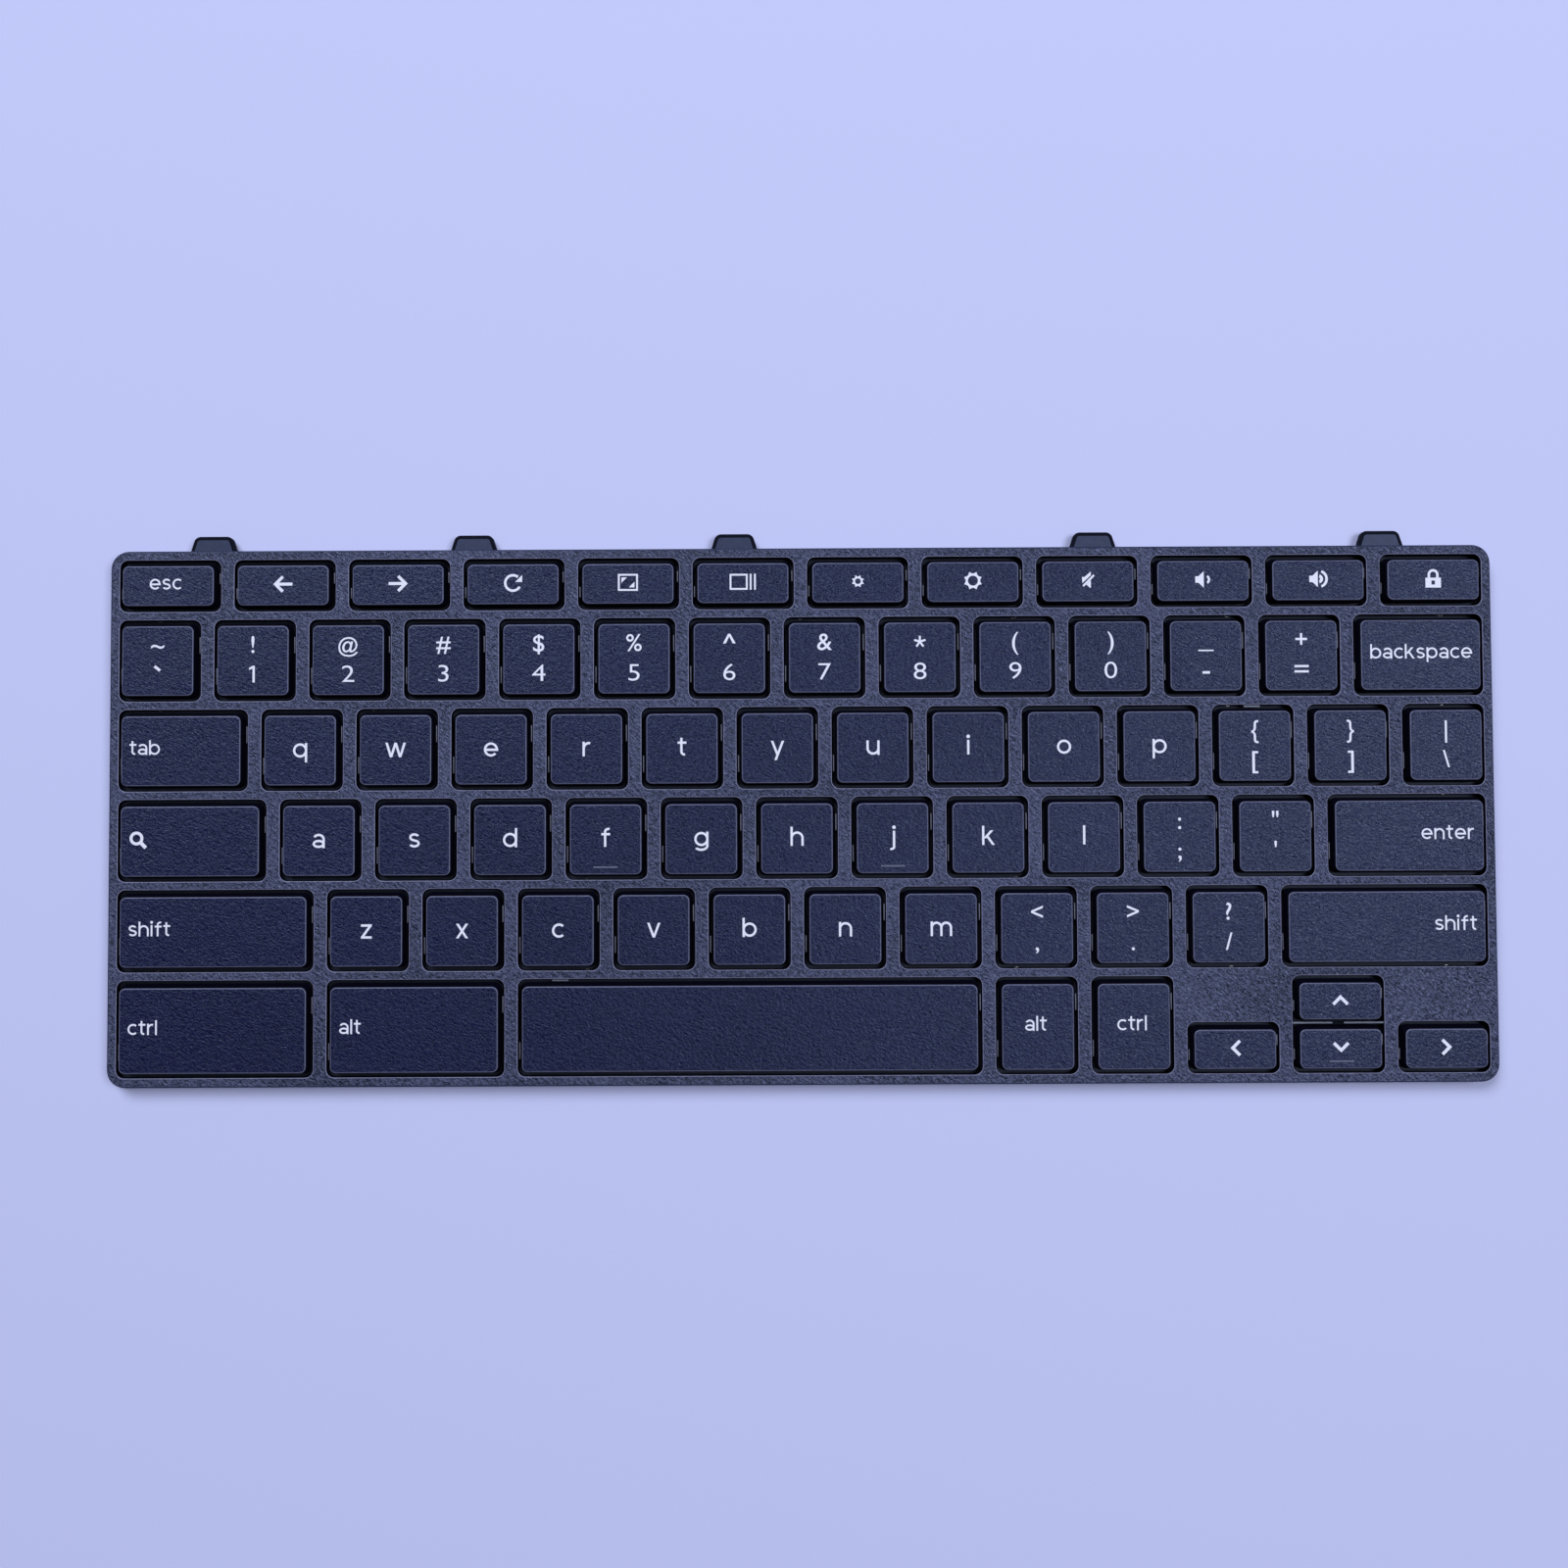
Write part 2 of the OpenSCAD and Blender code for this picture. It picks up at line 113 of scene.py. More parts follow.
def pickEdges(piece, test):
    # test gets an edge's two ends
    bpy.ops.mesh.select_mode(type="EDGE")
    bpy.ops.mesh.select_all(action="DESELECT")
    mesh = bmesh.from_edit_mesh(piece.data)
    for edge in mesh.edges:
        if test(edge.verts[0].co, edge.verts[1].co):
            edge.select_set(True)
    bmesh.update_edit_mesh(piece.data)


def facesUp(c, n):
    return n.z > 0.9


def facesDown(c, n):
    return n.z < -0.9


def standsUpright(a, b):
    return abs(a.z - b.z) > tiny


def rename(piece, name):
    piece.name = name
    piece.data.name = name
    return piece


def roundedBlock(name, low, high, corner, steps):
    # a block with round upright corners, its place kept in its mesh
    low, high = Vector(low), Vector(high)
    bpy.ops.object.select_all(action="DESELECT")
    bpy.ops.mesh.primitive_cube_add(size=1, location=(low + high) / 2, scale=high - low)
    block = rename(bpy.context.object, name)
    bpy.ops.object.transform_apply()
    startEdit(block)
    pickEdges(block, standsUpright)
    bpy.ops.mesh.bevel(offset=corner, segments=steps, affect="EDGES")
    endEdit()
    return block


def copyTo(master, name, shift):
    only(master)
    bpy.ops.object.duplicate()
    piece = rename(bpy.context.object, name)
    bpy.ops.transform.translate(value=shift)
    bpy.ops.object.transform_apply()
    return piece


def joinUp(pieces, name):
    only(*pieces)
    if len(pieces) > 1:
        bpy.ops.object.join()
    return rename(bpy.context.object, name)


def smoothOff(piece):
    # smooth shading that leaves the wide flat faces flat
    only(piece)
    bpy.ops.object.shade_smooth_by_angle(angle=smoothAngle)
    bpy.ops.object.modifier_add(type="WEIGHTED_NORMAL")
    piece.modifiers[-1].keep_sharp = True
    bpy.ops.object.modifier_apply(modifier=piece.modifiers[-1].name)


def discard(*pieces):
    only(*pieces)
    bpy.ops.object.delete()


def dressFaces(piece, names, choose):
    # choose gives each face the place of its material in names
    piece.data.materials.clear()
    for name in names:
        piece.data.materials.append(looks[name])
    for face in piece.data.polygons:
        face.material_index = choose(face.center, face.normal)


# materials

sheenTint = (0.54, 0.68, 1.0)       # the colour that every surface mirrors the lamps in
looks = {}


def newLook(name, colour, roughness, specular, metallic=0.0):
    look = looks[name] = bpy.data.materials.new(name)
    look.use_nodes = True
    shader = look.node_tree.nodes["Principled BSDF"]
    shader.inputs["Base Color"].default_value = (*colour, 1)
    shader.inputs["Roughness"].default_value = roughness
    shader.inputs["Specular IOR Level"].default_value = specular
    shader.inputs["Specular Tint"].default_value = (*sheenTint, 1)
    shader.inputs["Metallic"].default_value = metallic
    return look


def addNode(look, kind, **values):
    node = look.node_tree.nodes.new(kind)
    for name, value in values.items():
        if hasattr(node, name):
            setattr(node, name, value)
        else:
            node.inputs[name.replace("_", " ")].default_value = value
    return node


def wire(look, start, end):
    look.node_tree.links.new(start, end)


def addGrain(look, grain):
    # moulded leather grain: slanted streaks over soft lumps, with painted shade and highlight that follow them and a
    # little random change of tone
    shader = look.node_tree.nodes["Principled BSDF"]
    place = addNode(look, "ShaderNodeTexCoord").outputs["Object"]
    slant = addNode(look, "ShaderNodeMapping", vector_type="TEXTURE")
    slant.inputs["Rotation"].default_value = (0, 0, grain["slant"])
    slant.inputs["Scale"].default_value = grain["streak"]
    wire(look, place, slant.inputs["Vector"])
    streaks = addNode(look, "ShaderNodeTexNoise", Scale=1.0, Detail=3.0, Roughness=0.6, Distortion=0.6)
    wire(look, slant.outputs["Vector"], streaks.inputs["Vector"])
    lumps = addNode(look, "ShaderNodeTexVoronoi", Scale=1 / grain["lump"])
    wire(look, place, lumps.inputs["Vector"])
    height = addNode(look, "ShaderNodeMath", operation="MULTIPLY_ADD")
    height.inputs[1].default_value = grain["lumpShare"]
    wire(look, lumps.outputs["Distance"], height.inputs[0])
    wire(look, streaks.outputs["Fac"], height.inputs[2])
    bump = addNode(look, "ShaderNodeBump", Strength=grain["strength"], Distance=grain["depth"])
    wire(look, height.outputs["Value"], bump.inputs["Height"])
    wire(look, bump.outputs["Normal"], shader.inputs["Normal"])
    # colour: painted shade in the grain's hollows and a painted highlight on its tops, with a slow random drift of
    # tone over the part
    drift = addNode(look, "ShaderNodeTexNoise", Scale=1 / grain["drift"], Detail=2.0)
    wire(look, place, drift.inputs["Vector"])
    shade = addNode(look, "ShaderNodeMath", operation="MULTIPLY_ADD")
    shade.inputs[1].default_value = grain["driftShare"]
    wire(look, drift.outputs["Fac"], shade.inputs[0])
    wire(look, streaks.outputs["Fac"], shade.inputs[2])
    ramp = addNode(look, "ShaderNodeValToRGB")
    ramp.color_ramp.elements[0].position = grain["edges"][0] + grain["driftShare"] / 2
    ramp.color_ramp.elements[0].color = (*grain["dark"], 1)
    ramp.color_ramp.elements[1].position = grain["edges"][1] + grain["driftShare"] / 2
    ramp.color_ramp.elements[1].color = (*grain["pale"], 1)
    wire(look, shade.outputs["Value"], ramp.inputs["Fac"])
    wire(look, ramp.outputs["Color"], shader.inputs["Base Color"])
    gloss = addNode(look, "ShaderNodeMapRange")
    gloss.inputs["To Min"].default_value = grain["roughness"][0]
    gloss.inputs["To Max"].default_value = grain["roughness"][1]
    wire(look, streaks.outputs["Fac"], gloss.inputs["Value"])
    wire(look, gloss.outputs["Result"], shader.inputs["Roughness"])


def addSpeckle(look, size, dark, pale, strength, depth):
    # a fine even speckle, its size and depth in millimetres
    shader = look.node_tree.nodes["Principled BSDF"]
    place = addNode(look, "ShaderNodeTexCoord").outputs["Object"]
    noise = addNode(look, "ShaderNodeTexNoise", Scale=1 / (size * mm), Detail=4.0, Roughness=0.6)
    wire(look, place, noise.inputs["Vector"])
    ramp = addNode(look, "ShaderNodeValToRGB")
    ramp.color_ramp.elements[0].position = 0.3
    ramp.color_ramp.elements[0].color = (*dark, 1)
    ramp.color_ramp.elements[1].position = 0.7
    ramp.color_ramp.elements[1].color = (*pale, 1)
    wire(look, noise.outputs["Fac"], ramp.inputs["Fac"])
    wire(look, ramp.outputs["Color"], shader.inputs["Base Color"])
    bump = addNode(look, "ShaderNodeBump", Strength=strength, Distance=depth * mm)
    wire(look, noise.outputs["Fac"], bump.inputs["Height"])
    wire(look, bump.outputs["Normal"], shader.inputs["Normal"])


frameGrain = {
    "slant": math.radians(-38),
    "streak": (0.85 * mm, 0.42 * mm, 0.5 * mm),    # along, across and into the surface
    "lump": 0.8 * mm,
    "lumpShare": 0.3,             # of the height, next to the streaks
    "strength": 1.0,
    "depth": 0.36 * mm,
    "drift": 30 * mm,             # size of the slow change of shade
    "driftShare": 0.25,
    "edges": (0.40, 0.60),        # where the dark ends and the pale begins, from 0 to 1
    "dark": (0.002, 0.003, 0.020),
    "pale": (0.054, 0.060, 0.140),
    "roughness": (0.21, 0.42),
}
keyGrain = {
    "slant": math.radians(-25),
    "streak": (0.66 * mm, 0.36 * mm, 0.5 * mm),
    "lump": 0.7 * mm,
    "lumpShare": 0.3,
    "strength": 1.0,
    "depth": 0.165 * mm,
    "drift": 40 * mm,
    "driftShare": 0.2,
    "edges": (0.37, 0.64),
    "dark": (0.0012, 0.0016, 0.024),
    "pale": (0.0066, 0.0084, 0.050),
    "roughness": (0.18, 0.40),
}
grained = {                         # roughness, specular, grain
    "frameGrainedPlastic": (0.5, 0.75, frameGrain),
    "keyGrainedPlastic": (0.5, 0.425, keyGrain),
}
speckled = {                        # colour, roughness, specular, metallic, then the speckle
    # painted shade: opening walls, nub sides and tongue borders, near black where shade falls in the gaps; the plastic
    # is the frame's
    "frameMouldedWall": ((0.002, 0.002, 0.008), 0.6, 0.1, 0.0,
                         0.6, (0.0010, 0.0010, 0.005), (0.0025, 0.0025, 0.010), 0.2, 0.01),
    # painted highlight: the openings' rounded rims, paler than the frame where lit edges catch the light
    "frameWornRim": ((0.16, 0.165, 0.29), 0.4, 0.5, 0.0, 0.5, (0.11, 0.115, 0.23), (0.22, 0.225, 0.37), 0.3, 0.01),
    # painted glint: the top lines of the nubs and the arrow rib, paler than the frame
    "frameNubTop": ((0.10, 0.11, 0.16), 0.4, 0.5, 0.0, 0.5, (0.075, 0.080, 0.125), (0.13, 0.14, 0.19), 0.3, 0.01),
    # painted shade: the frame's rounded outer edge, darker than its face
    "frameOuterEdge": ((0.01, 0.014, 0.05), 0.5, 0.5, 0.0,
                       0.5, (0.006, 0.009, 0.040), (0.016, 0.021, 0.070), 0.3, 0.01),
    # painted shade: keycap and homing bar sides, near black where shade falls between key and frame; the plastic is
    # the keytop's
    "keyMouldedWall": ((0.002, 0.002, 0.008), 0.6, 0.1, 0.0,
                       0.6, (0.0010, 0.0010, 0.005), (0.0025, 0.0025, 0.010), 0.2, 0.01),
    # painted highlight: the keytops' rounded edges and the homing bars' tops, paler than the keytop
    "keyWornRim": ((0.09, 0.10, 0.18), 0.45, 0.5, 0.0, 0.5, (0.055, 0.060, 0.125), (0.115, 0.125, 0.22), 0.3, 0.01),
    "tongueSmoothPlastic": ((0.010, 0.013, 0.045), 0.5, 0.5, 0.0,
                            1.2, (0.008, 0.010, 0.040), (0.016, 0.020, 0.062), 0.3, 0.02),
    "legendPaleInk": ((0.68, 0.72, 0.92), 0.6, 0.2, 0.0, 0.3, (0.62, 0.66, 0.88), (0.74, 0.78, 0.97), 0.2, 0.005),
    "plateGalvanisedSteel": ((0.55, 0.56, 0.58), 0.4, 0.5, 1.0,
                             3, (0.40, 0.41, 0.43), (0.60, 0.61, 0.63), 0.15, 0.02),
    "switchDarkFilm": ((0.01, 0.01, 0.02), 0.6, 0.5, 0.0,
                       2, (0.006, 0.007, 0.014), (0.012, 0.013, 0.024), 0.1, 0.01),
    "domeDarkRubber": ((0.02, 0.02, 0.03), 0.6, 0.5, 0.0,
                       0.8, (0.014, 0.015, 0.024), (0.026, 0.027, 0.038), 0.2, 0.01),
    "armDarkPlastic": ((0.02, 0.02, 0.03), 0.45, 0.5, 0.0,
                       0.8, (0.012, 0.013, 0.022), (0.022, 0.023, 0.034), 0.2, 0.01),
    "wireDrawnSteel": ((0.45, 0.46, 0.48), 0.3, 0.5, 1.0,
                       0.4, (0.34, 0.35, 0.37), (0.50, 0.51, 0.53), 0.2, 0.005),
}
for name, (roughness, specular, grain) in grained.items():
    addGrain(newLook(name, grain["pale"], roughness, specular), grain)
for name, (colour, roughness, specular, metallic, *speckle) in speckled.items():
    addSpeckle(newLook(name, colour, roughness, specular, metallic), *speckle)

nodeLooks = {"back_plate": "plateGalvanisedSteel", "membrane": "switchDarkFilm", "rubber_domes": "domeDarkRubber",
             "scissor_arms": "armDarkPlastic", "bezel": "frameGrainedPlastic"}
for name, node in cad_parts.items():
    plain = "wireDrawnSteel" if name.startswith("wire_") else "keyGrainedPlastic"
    for place in node.material_slots:
        place.material = looks[nodeLooks.get(name, plain)]
print("materials made")

# where the keys are

keyField = {
    "gap": 0.6 * mm,              # between a keycap's foot and its opening
    "pitch": 19 * mm,
    "bar": 2.85 * mm,             # frame between two keys of a row
    "lowKey": 9.0 * mm,           # height of a function key
    "numberRow": [1] * 13 + [1.5],
    "functionRow": [14.5 / 12] * 12,
}
numberNames = ["grave", "1", "2", "3", "4", "5", "6", "7", "8", "9", "0", "minus", "equal", "backspace"]
functionNames = ["esc", "back", "forward", "reload", "screen", "overview",
                 "dim", "bright", "mute", "quieter", "louder", "lock"]

movingKeys = {}
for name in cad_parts:
    if name.startswith("key_"):
        low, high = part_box(name)
        movingKeys[name[4:]] = (Vector(((low.x + high.x) / 2, (low.y + high.y) / 2)), high.x - low.x, high.y - low.y)

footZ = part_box("key_q")[0].z
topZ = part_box("key_q")[1].z
letterHeight = movingKeys["q"][2]
fixedKeys = {}
upperLow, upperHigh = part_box("upper_row_keycaps")
for names, units, low, height in (
    (numberNames, keyField["numberRow"], upperLow.y, letterHeight),
    (functionNames, keyField["functionRow"], upperHigh.y - keyField["lowKey"], keyField["lowKey"]),
):
    left = upperLow.x - keyField["gap"]
    for name, unit in zip(names, units):
        width = unit * keyField["pitch"] - keyField["bar"]
        fixedKeys[name] = (Vector((left + width / 2, low + height / 2)), width - 2 * keyField["gap"], height)
        left += unit * keyField["pitch"]

# the frame

frameBody = {
    "corner": 3.6 * mm,
    "cornerSteps": 9,
    "edgeRound": 0.3 * mm,        # soft edge round the top
    "edgeSteps": 3,
    "rimWall": 1.2 * mm,          # wall round the back plate
    "plate": 1.2 * mm,            # thickness of the lattice
    "openingCorner": 1.5 * mm,
    "openingCornerSteps": 8,
    "openingRound": 0.24 * mm,    # soft edge of an opening
    "openingSteps": 3,
    "tongueReach": 3.1 * mm,
    "hiddenUnder": 0.6 * mm,      # walls under this height show from below only
}

frameLow, frameHigh = (Vector(corner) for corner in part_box("bezel"))
frameHigh.y -= frameBody["tongueReach"]
latticeZ = frameHigh.z - frameBody["plate"]

keyFrame = roundedBlock("keyboardFrame", frameLow, frameHigh, frameBody["corner"], frameBody["cornerSteps"])
startEdit(keyFrame)
pickFaces(keyFrame, facesUp)
bpy.ops.mesh.bevel(offset=frameBody["edgeRound"], segments=frameBody["edgeSteps"], affect="EDGES")
pickFaces(keyFrame, facesDown)
bpy.ops.mesh.inset(thickness=frameBody["rimWall"], depth=0)
bpy.ops.mesh.extrude_region_move(TRANSFORM_OT_translate={"value": (0, 0, latticeZ - frameLow.z)})
endEdit()


def sizeKey(width, height):
    # what has the same key is modelled once and copied
    return round(width / tiny), round(height / tiny)


def openingCutter(width, height):
    # wide above the lattice, curving in to the opening's own size
    soft, steps = frameBody["openingRound"], frameBody["openingSteps"]
    cutter = roundedBlock(
        "openingCutter",
        (-width / 2 - soft, -height / 2 - soft, frameHigh.z),
        (width / 2 + soft, height / 2 + soft, frameHigh.z + 1 * mm),
        frameBody["openingCorner"] + soft, frameBody["openingCornerSteps"])
    startEdit(cutter)
    pickFaces(cutter, facesDown)
    for step in range(steps):
        a, b = (math.radians(90 * s / steps) for s in (step, step + 1))
        bpy.ops.mesh.inset(thickness=soft * (math.sin(b) - math.sin(a)), depth=soft * (math.cos(a) - math.cos(b)))
    bpy.ops.mesh.extrude_region_move(TRANSFORM_OT_translate={"value": (0, 0, -frameBody["plate"])})
    endEdit()
    return cutter


gap = keyField["gap"]
openings = [(c, w + 2 * gap, h + 2 * gap) for name, (c, w, h) in {**movingKeys, **fixedKeys}.items()
            if name not in ("arrow_up", "arrow_down")]
downLow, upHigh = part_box("key_arrow_down")[0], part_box("key_arrow_up")[1]
openings.append((Vector(((downLow.x + upHigh.x) / 2, (downLow.y + upHigh.y) / 2)),
                 upHigh.x - downLow.x + 2 * gap, upHigh.y - downLow.y + 2 * gap))
cutterMasters = {}
cutters = []
for centre, width, height in openings:
    size = sizeKey(width, height)
    if size not in cutterMasters:
        cutterMasters[size] = openingCutter(width, height)
    cutters.append(copyTo(cutterMasters[size], "cutter", (centre.x, centre.y, 0)))
discard(*cutterMasters.values())
cutter = joinUp(cutters, "openingCutters")
only(keyFrame)
bpy.ops.object.modifier_add(type="BOOLEAN")
keyFrame.modifiers[-1].object = cutter
keyFrame.modifiers[-1].operation = "DIFFERENCE"
keyFrame.modifiers[-1].solver = "EXACT"
bpy.ops.object.modifier_apply(modifier=keyFrame.modifiers[-1].name)
discard(cutter)
print("frame cut with", len(openings), "openings")

nubs = {
    "out": 0.4 * mm,              # how far a nub stands out of its wall
    "sunk": 0.2 * mm,             # how far a nub starts inside its wall
    "drop": 0.2 * mm,             # frame left bare above it
    "long": 3.3 * mm,
    "short": 2.15 * mm,
    "tallKey": 16 * mm,
    "edge": 0.08 * mm,
    "lip": 0.24 * mm,             # raised line along a nub's inner side
    "lipEdge": 0.05 * mm,
    "lipDrop": 0.25 * mm,
    "lipTall": 0.4 * mm,
    "arrowRib": 0.4 * mm,
    "arrowRibHigh": 0.5 * mm,
    "arrowNotch": 2.2 * mm,
    "tallDown": 1.5,              # a nub's middle below the opening's far side, in long nubs
    "lowDown": 1.08,
    "farSide": {"left_bracket": 0, "space": -0.41},    # nubs on a far side, in widths from the key's middle
}


def nubBar(x, y, width, length, top, edge=nubs["edge"]):
    bar = roundedBlock("nub", (x - width / 2, y - length / 2, latticeZ), (x + width / 2, y + length / 2, top), edge, 2)
    startEdit(bar)
    pickFaces(bar, facesUp)
    bpy.ops.mesh.bevel(offset=edge, segments=2, affect="EDGES")
    endEdit()
    return bar


nubTop = frameHigh.z - nubs["drop"]
nubWide = nubs["out"] + nubs["sunk"]
lipTop = nubTop - nubs["lipDrop"]
nubMasters = {}
for length in (nubs["long"], nubs["short"]):
    for side in (-1, 1):
        lip = nubBar(-side * (nubWide - nubs["lip"]) / 2, 0, nubs["lip"], length, lipTop, nubs["lipEdge"])
        low = nubBar(0, 0, nubWide, length - 2 * nubs["lipEdge"], lipTop - nubs["lipTall"])
        nubMasters[length, side] = joinUp([low, lip], "nubMaster")
nubOpenings = openings[:-1]
for name in ("arrow_down", "arrow_up"):
    centre, width, height = movingKeys[name]
    nubOpenings.append((centre, width + 2 * gap, height + 2 * gap))
frameParts = [keyFrame]
for centre, width, height in nubOpenings:
    tall = height > nubs["tallKey"]
    length = nubs["long"] if tall else nubs["short"]
    down = nubs["tallDown" if tall else "lowDown"] * nubs["long"]
    for side in (-1, 1):
        x = centre.x + side * (width / 2 - (nubs["out"] - nubs["sunk"]) / 2)
        y = centre.y + side * (height / 2 - down)
        frameParts.append(copyTo(nubMasters[length, side], "nub", (x, y, 0)))
discard(*nubMasters.values())
for name, share in nubs["farSide"].items():
    centre, width, height = movingKeys[name]
    x = centre.x + share * (width + 2 * gap)
    y = centre.y + height / 2 + gap - (nubs["out"] - nubs["sunk"]) / 2
    frameParts.append(nubBar(x, y, nubs["long"], nubWide, lipTop))
# the rib between the up and down arrow keys, in two raised lengths
ribY = (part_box("key_arrow_down")[1].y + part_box("key_arrow_up")[0].y) / 2
ribX, ribWide = openings[-1][0].x, openings[-1][1]
frameParts.append(nubBar(ribX, ribY, ribWide + 2 * nubs["sunk"], nubs["arrowRib"], latticeZ + nubs["arrowRibHigh"]))
for side in (-1, 1):
    half = (ribWide - nubs["arrowNotch"]) / 2
    frameParts.append(nubBar(ribX + side * (nubs["arrowNotch"] + half) / 2, ribY, half, nubs["arrowRib"], nubTop))

stakes = {
    "across": 7,
    "radius": 0.65 * mm,
    "head": 1.15 * mm,
    "headDeep": 0.4 * mm,
    "headRim": 0.25 * mm,
    "sunk": 0.2 * mm,             # how far a stake starts inside the lattice
    "below": 0.925 * mm,          # its middle below the row of openings
    "span": frameHigh.x - frameLow.x - 5 * frameBody["corner"],
}
bpy.ops.object.select_all(action="DESELECT")
stakeTall = latticeZ + stakes["sunk"] - stakes["headDeep"]
bpy.ops.mesh.primitive_cylinder_add(vertices=20, radius=stakes["radius"], depth=stakeTall,
                                    location=(0, 0, stakes["headDeep"] + stakeTall / 2))
stake = rename(bpy.context.object, "stakeMaster")
bpy.ops.object.transform_apply()
startEdit(stake)
pickFaces(stake, facesDown)
bpy.ops.mesh.extrude_region_move(TRANSFORM_OT_translate={"value": (0, 0, -0.8 * stakes["headDeep"])})
spread = stakes["head"] / stakes["radius"]
bpy.ops.transform.resize(value=(spread, spread, 1), center_override=(0, 0, 0))
bpy.ops.mesh.inset(thickness=stakes["headRim"], depth=0.2 * stakes["headDeep"])
endEdit()
rowLow = [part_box(name)[0].y - gap for name in ("key_z", "key_a", "key_q")]
rowLow += [upperLow.y - gap, upperHigh.y - keyField["lowKey"] - gap]
for y in rowLow:
    for place in range(stakes["across"]):
        x = (place / (stakes["across"] - 1) - 0.5) * stakes["span"]
        frameParts.append(copyTo(stake, "stake", (x, y - stakes["below"], 0)))
discard(stake)
keyFrame = joinUp(frameParts, "keyboardFrame")


def frameFace(c, n):
    # 0 the grained face, 1 the openings' rims in a painted highlight, 2 their walls and the nubs' sides and low steps
    # in painted shade, 3 the nubs' top lines in a painted glint, 4 the outer edge in painted shade
    if n.z > 0.97 and c.z > frameHigh.z - tiny:
        return 0
    edge, corner = frameBody["edgeRound"], frameBody["corner"]
    besideX = max(abs(c.x) - frameHigh.x + corner, 0)
    besideY = max(c.y - frameHigh.y + corner, frameLow.y + corner - c.y, 0)
    inside = math.hypot(besideX, besideY) < corner - edge
    if not inside and n.z > 0.05 and c.z > frameHigh.z - edge:
        return 4
    if inside and n.z > 0.8 and c.z > frameHigh.z - frameBody["openingRound"]:
        return 1 if c.z > nubTop + tiny else 3
    if n.z > 0.3 and lipTop - nubs["edge"] < c.z < lipTop + tiny:
        return 3
    return 2 if inside and c.z > frameBody["hiddenUnder"] else 0


dressFaces(keyFrame, ("frameGrainedPlastic", "frameWornRim", "frameMouldedWall", "frameNubTop", "frameOuterEdge"),
           frameFace)
smoothOff(keyFrame)
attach(keyFrame, "base")
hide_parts("bezel")
print("frame finished")

tongues = {
    "places": (0.073, 0.2625, 0.452, 0.713, 0.922),
    "width": 9.3 * mm,
    "draft": 2.0 * mm,
    "corner": 0.96 * mm,
    "low": 1.25 * mm,
    "high": 2.25 * mm,
    "border": 0.65 * mm,          # low border round the raised middle
    "flat": 0.12 * mm,            # part of it that doesn't rise
    "rise": 0.05 * mm,
    "step": 0.25 * mm,
    "stepSlope": 0.1 * mm,
    "root": 0.95 * mm,            # starts this far inside the frame's wall
}
reach = frameBody["tongueReach"]
bpy.ops.object.select_all(action="DESELECT")
rootWide = tongues["width"] + 2 * tongues["root"] * tongues["draft"] / 2 / reach
bpy.ops.mesh.primitive_cube_add(
    size=1, location=(0, (reach - tongues["root"]) / 2, (tongues["low"] + tongues["high"]) / 2),
    scale=(rootWide, reach + tongues["root"], tongues["high"] - tongues["low"]))
tongue = rename(bpy.context.object, "tongueMaster")
bpy.ops.object.transform_apply()
startEdit(tongue)
pickFaces(tongue, lambda c, n: n.y > 0.9)
narrow = (tongues["width"] - tongues["draft"]) / rootWide
bpy.ops.transform.resize(value=(narrow, 1, 1), center_override=(0, reach, tongues["low"]))
pickEdges(tongue, lambda a, b: standsUpright(a, b) and a.y > 0)
bpy.ops.mesh.bevel(offset=tongues["corner"], segments=8, affect="EDGES")
pickFaces(tongue, facesUp)
bpy.ops.mesh.inset(thickness=tongues["flat"], depth=0)
bpy.ops.mesh.inset(thickness=tongues["border"] - tongues["flat"], depth=tongues["rise"])
bpy.ops.mesh.inset(thickness=tongues["stepSlope"], depth=tongues["step"] - tongues["rise"])
endEdit()
tongueParts = [copyTo(tongue, "tongue", (frameLow.x + share * (frameHigh.x - frameLow.x), frameHigh.y, 0))
               for share in tongues["places"]]
discard(tongue)
frameTongues = joinUp(tongueParts, "frameTongues")
# the raised face keeps the tongue's own colour; its border and sides get painted shade
dressFaces(frameTongues, ("tongueSmoothPlastic", "frameMouldedWall"),
           lambda c, n: 0 if facesUp(c, n) and c.z > tongues["high"] + tongues["step"] - 2 * tiny else 1)
smoothOff(frameTongues)
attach(frameTongues, "base")
print("tongues made")

# the keycaps

capShape = {
    "corner": 1.25 * mm,
    "cornerSteps": 7,
    "taper": 0.36 * mm,
    "farTaper": 0.68 * mm,        # the side away from the user leans in more
    "edge": 0.22 * mm,
    "edgeSteps": 3,
    "flat": 0.2 * mm,             # flat border that keeps the edge's shading off the top
    "wall": 0.8 * mm,
    "hollow": 1.5 * mm,
}
capLooks = ("keyGrainedPlastic", "keyWornRim", "keyMouldedWall")


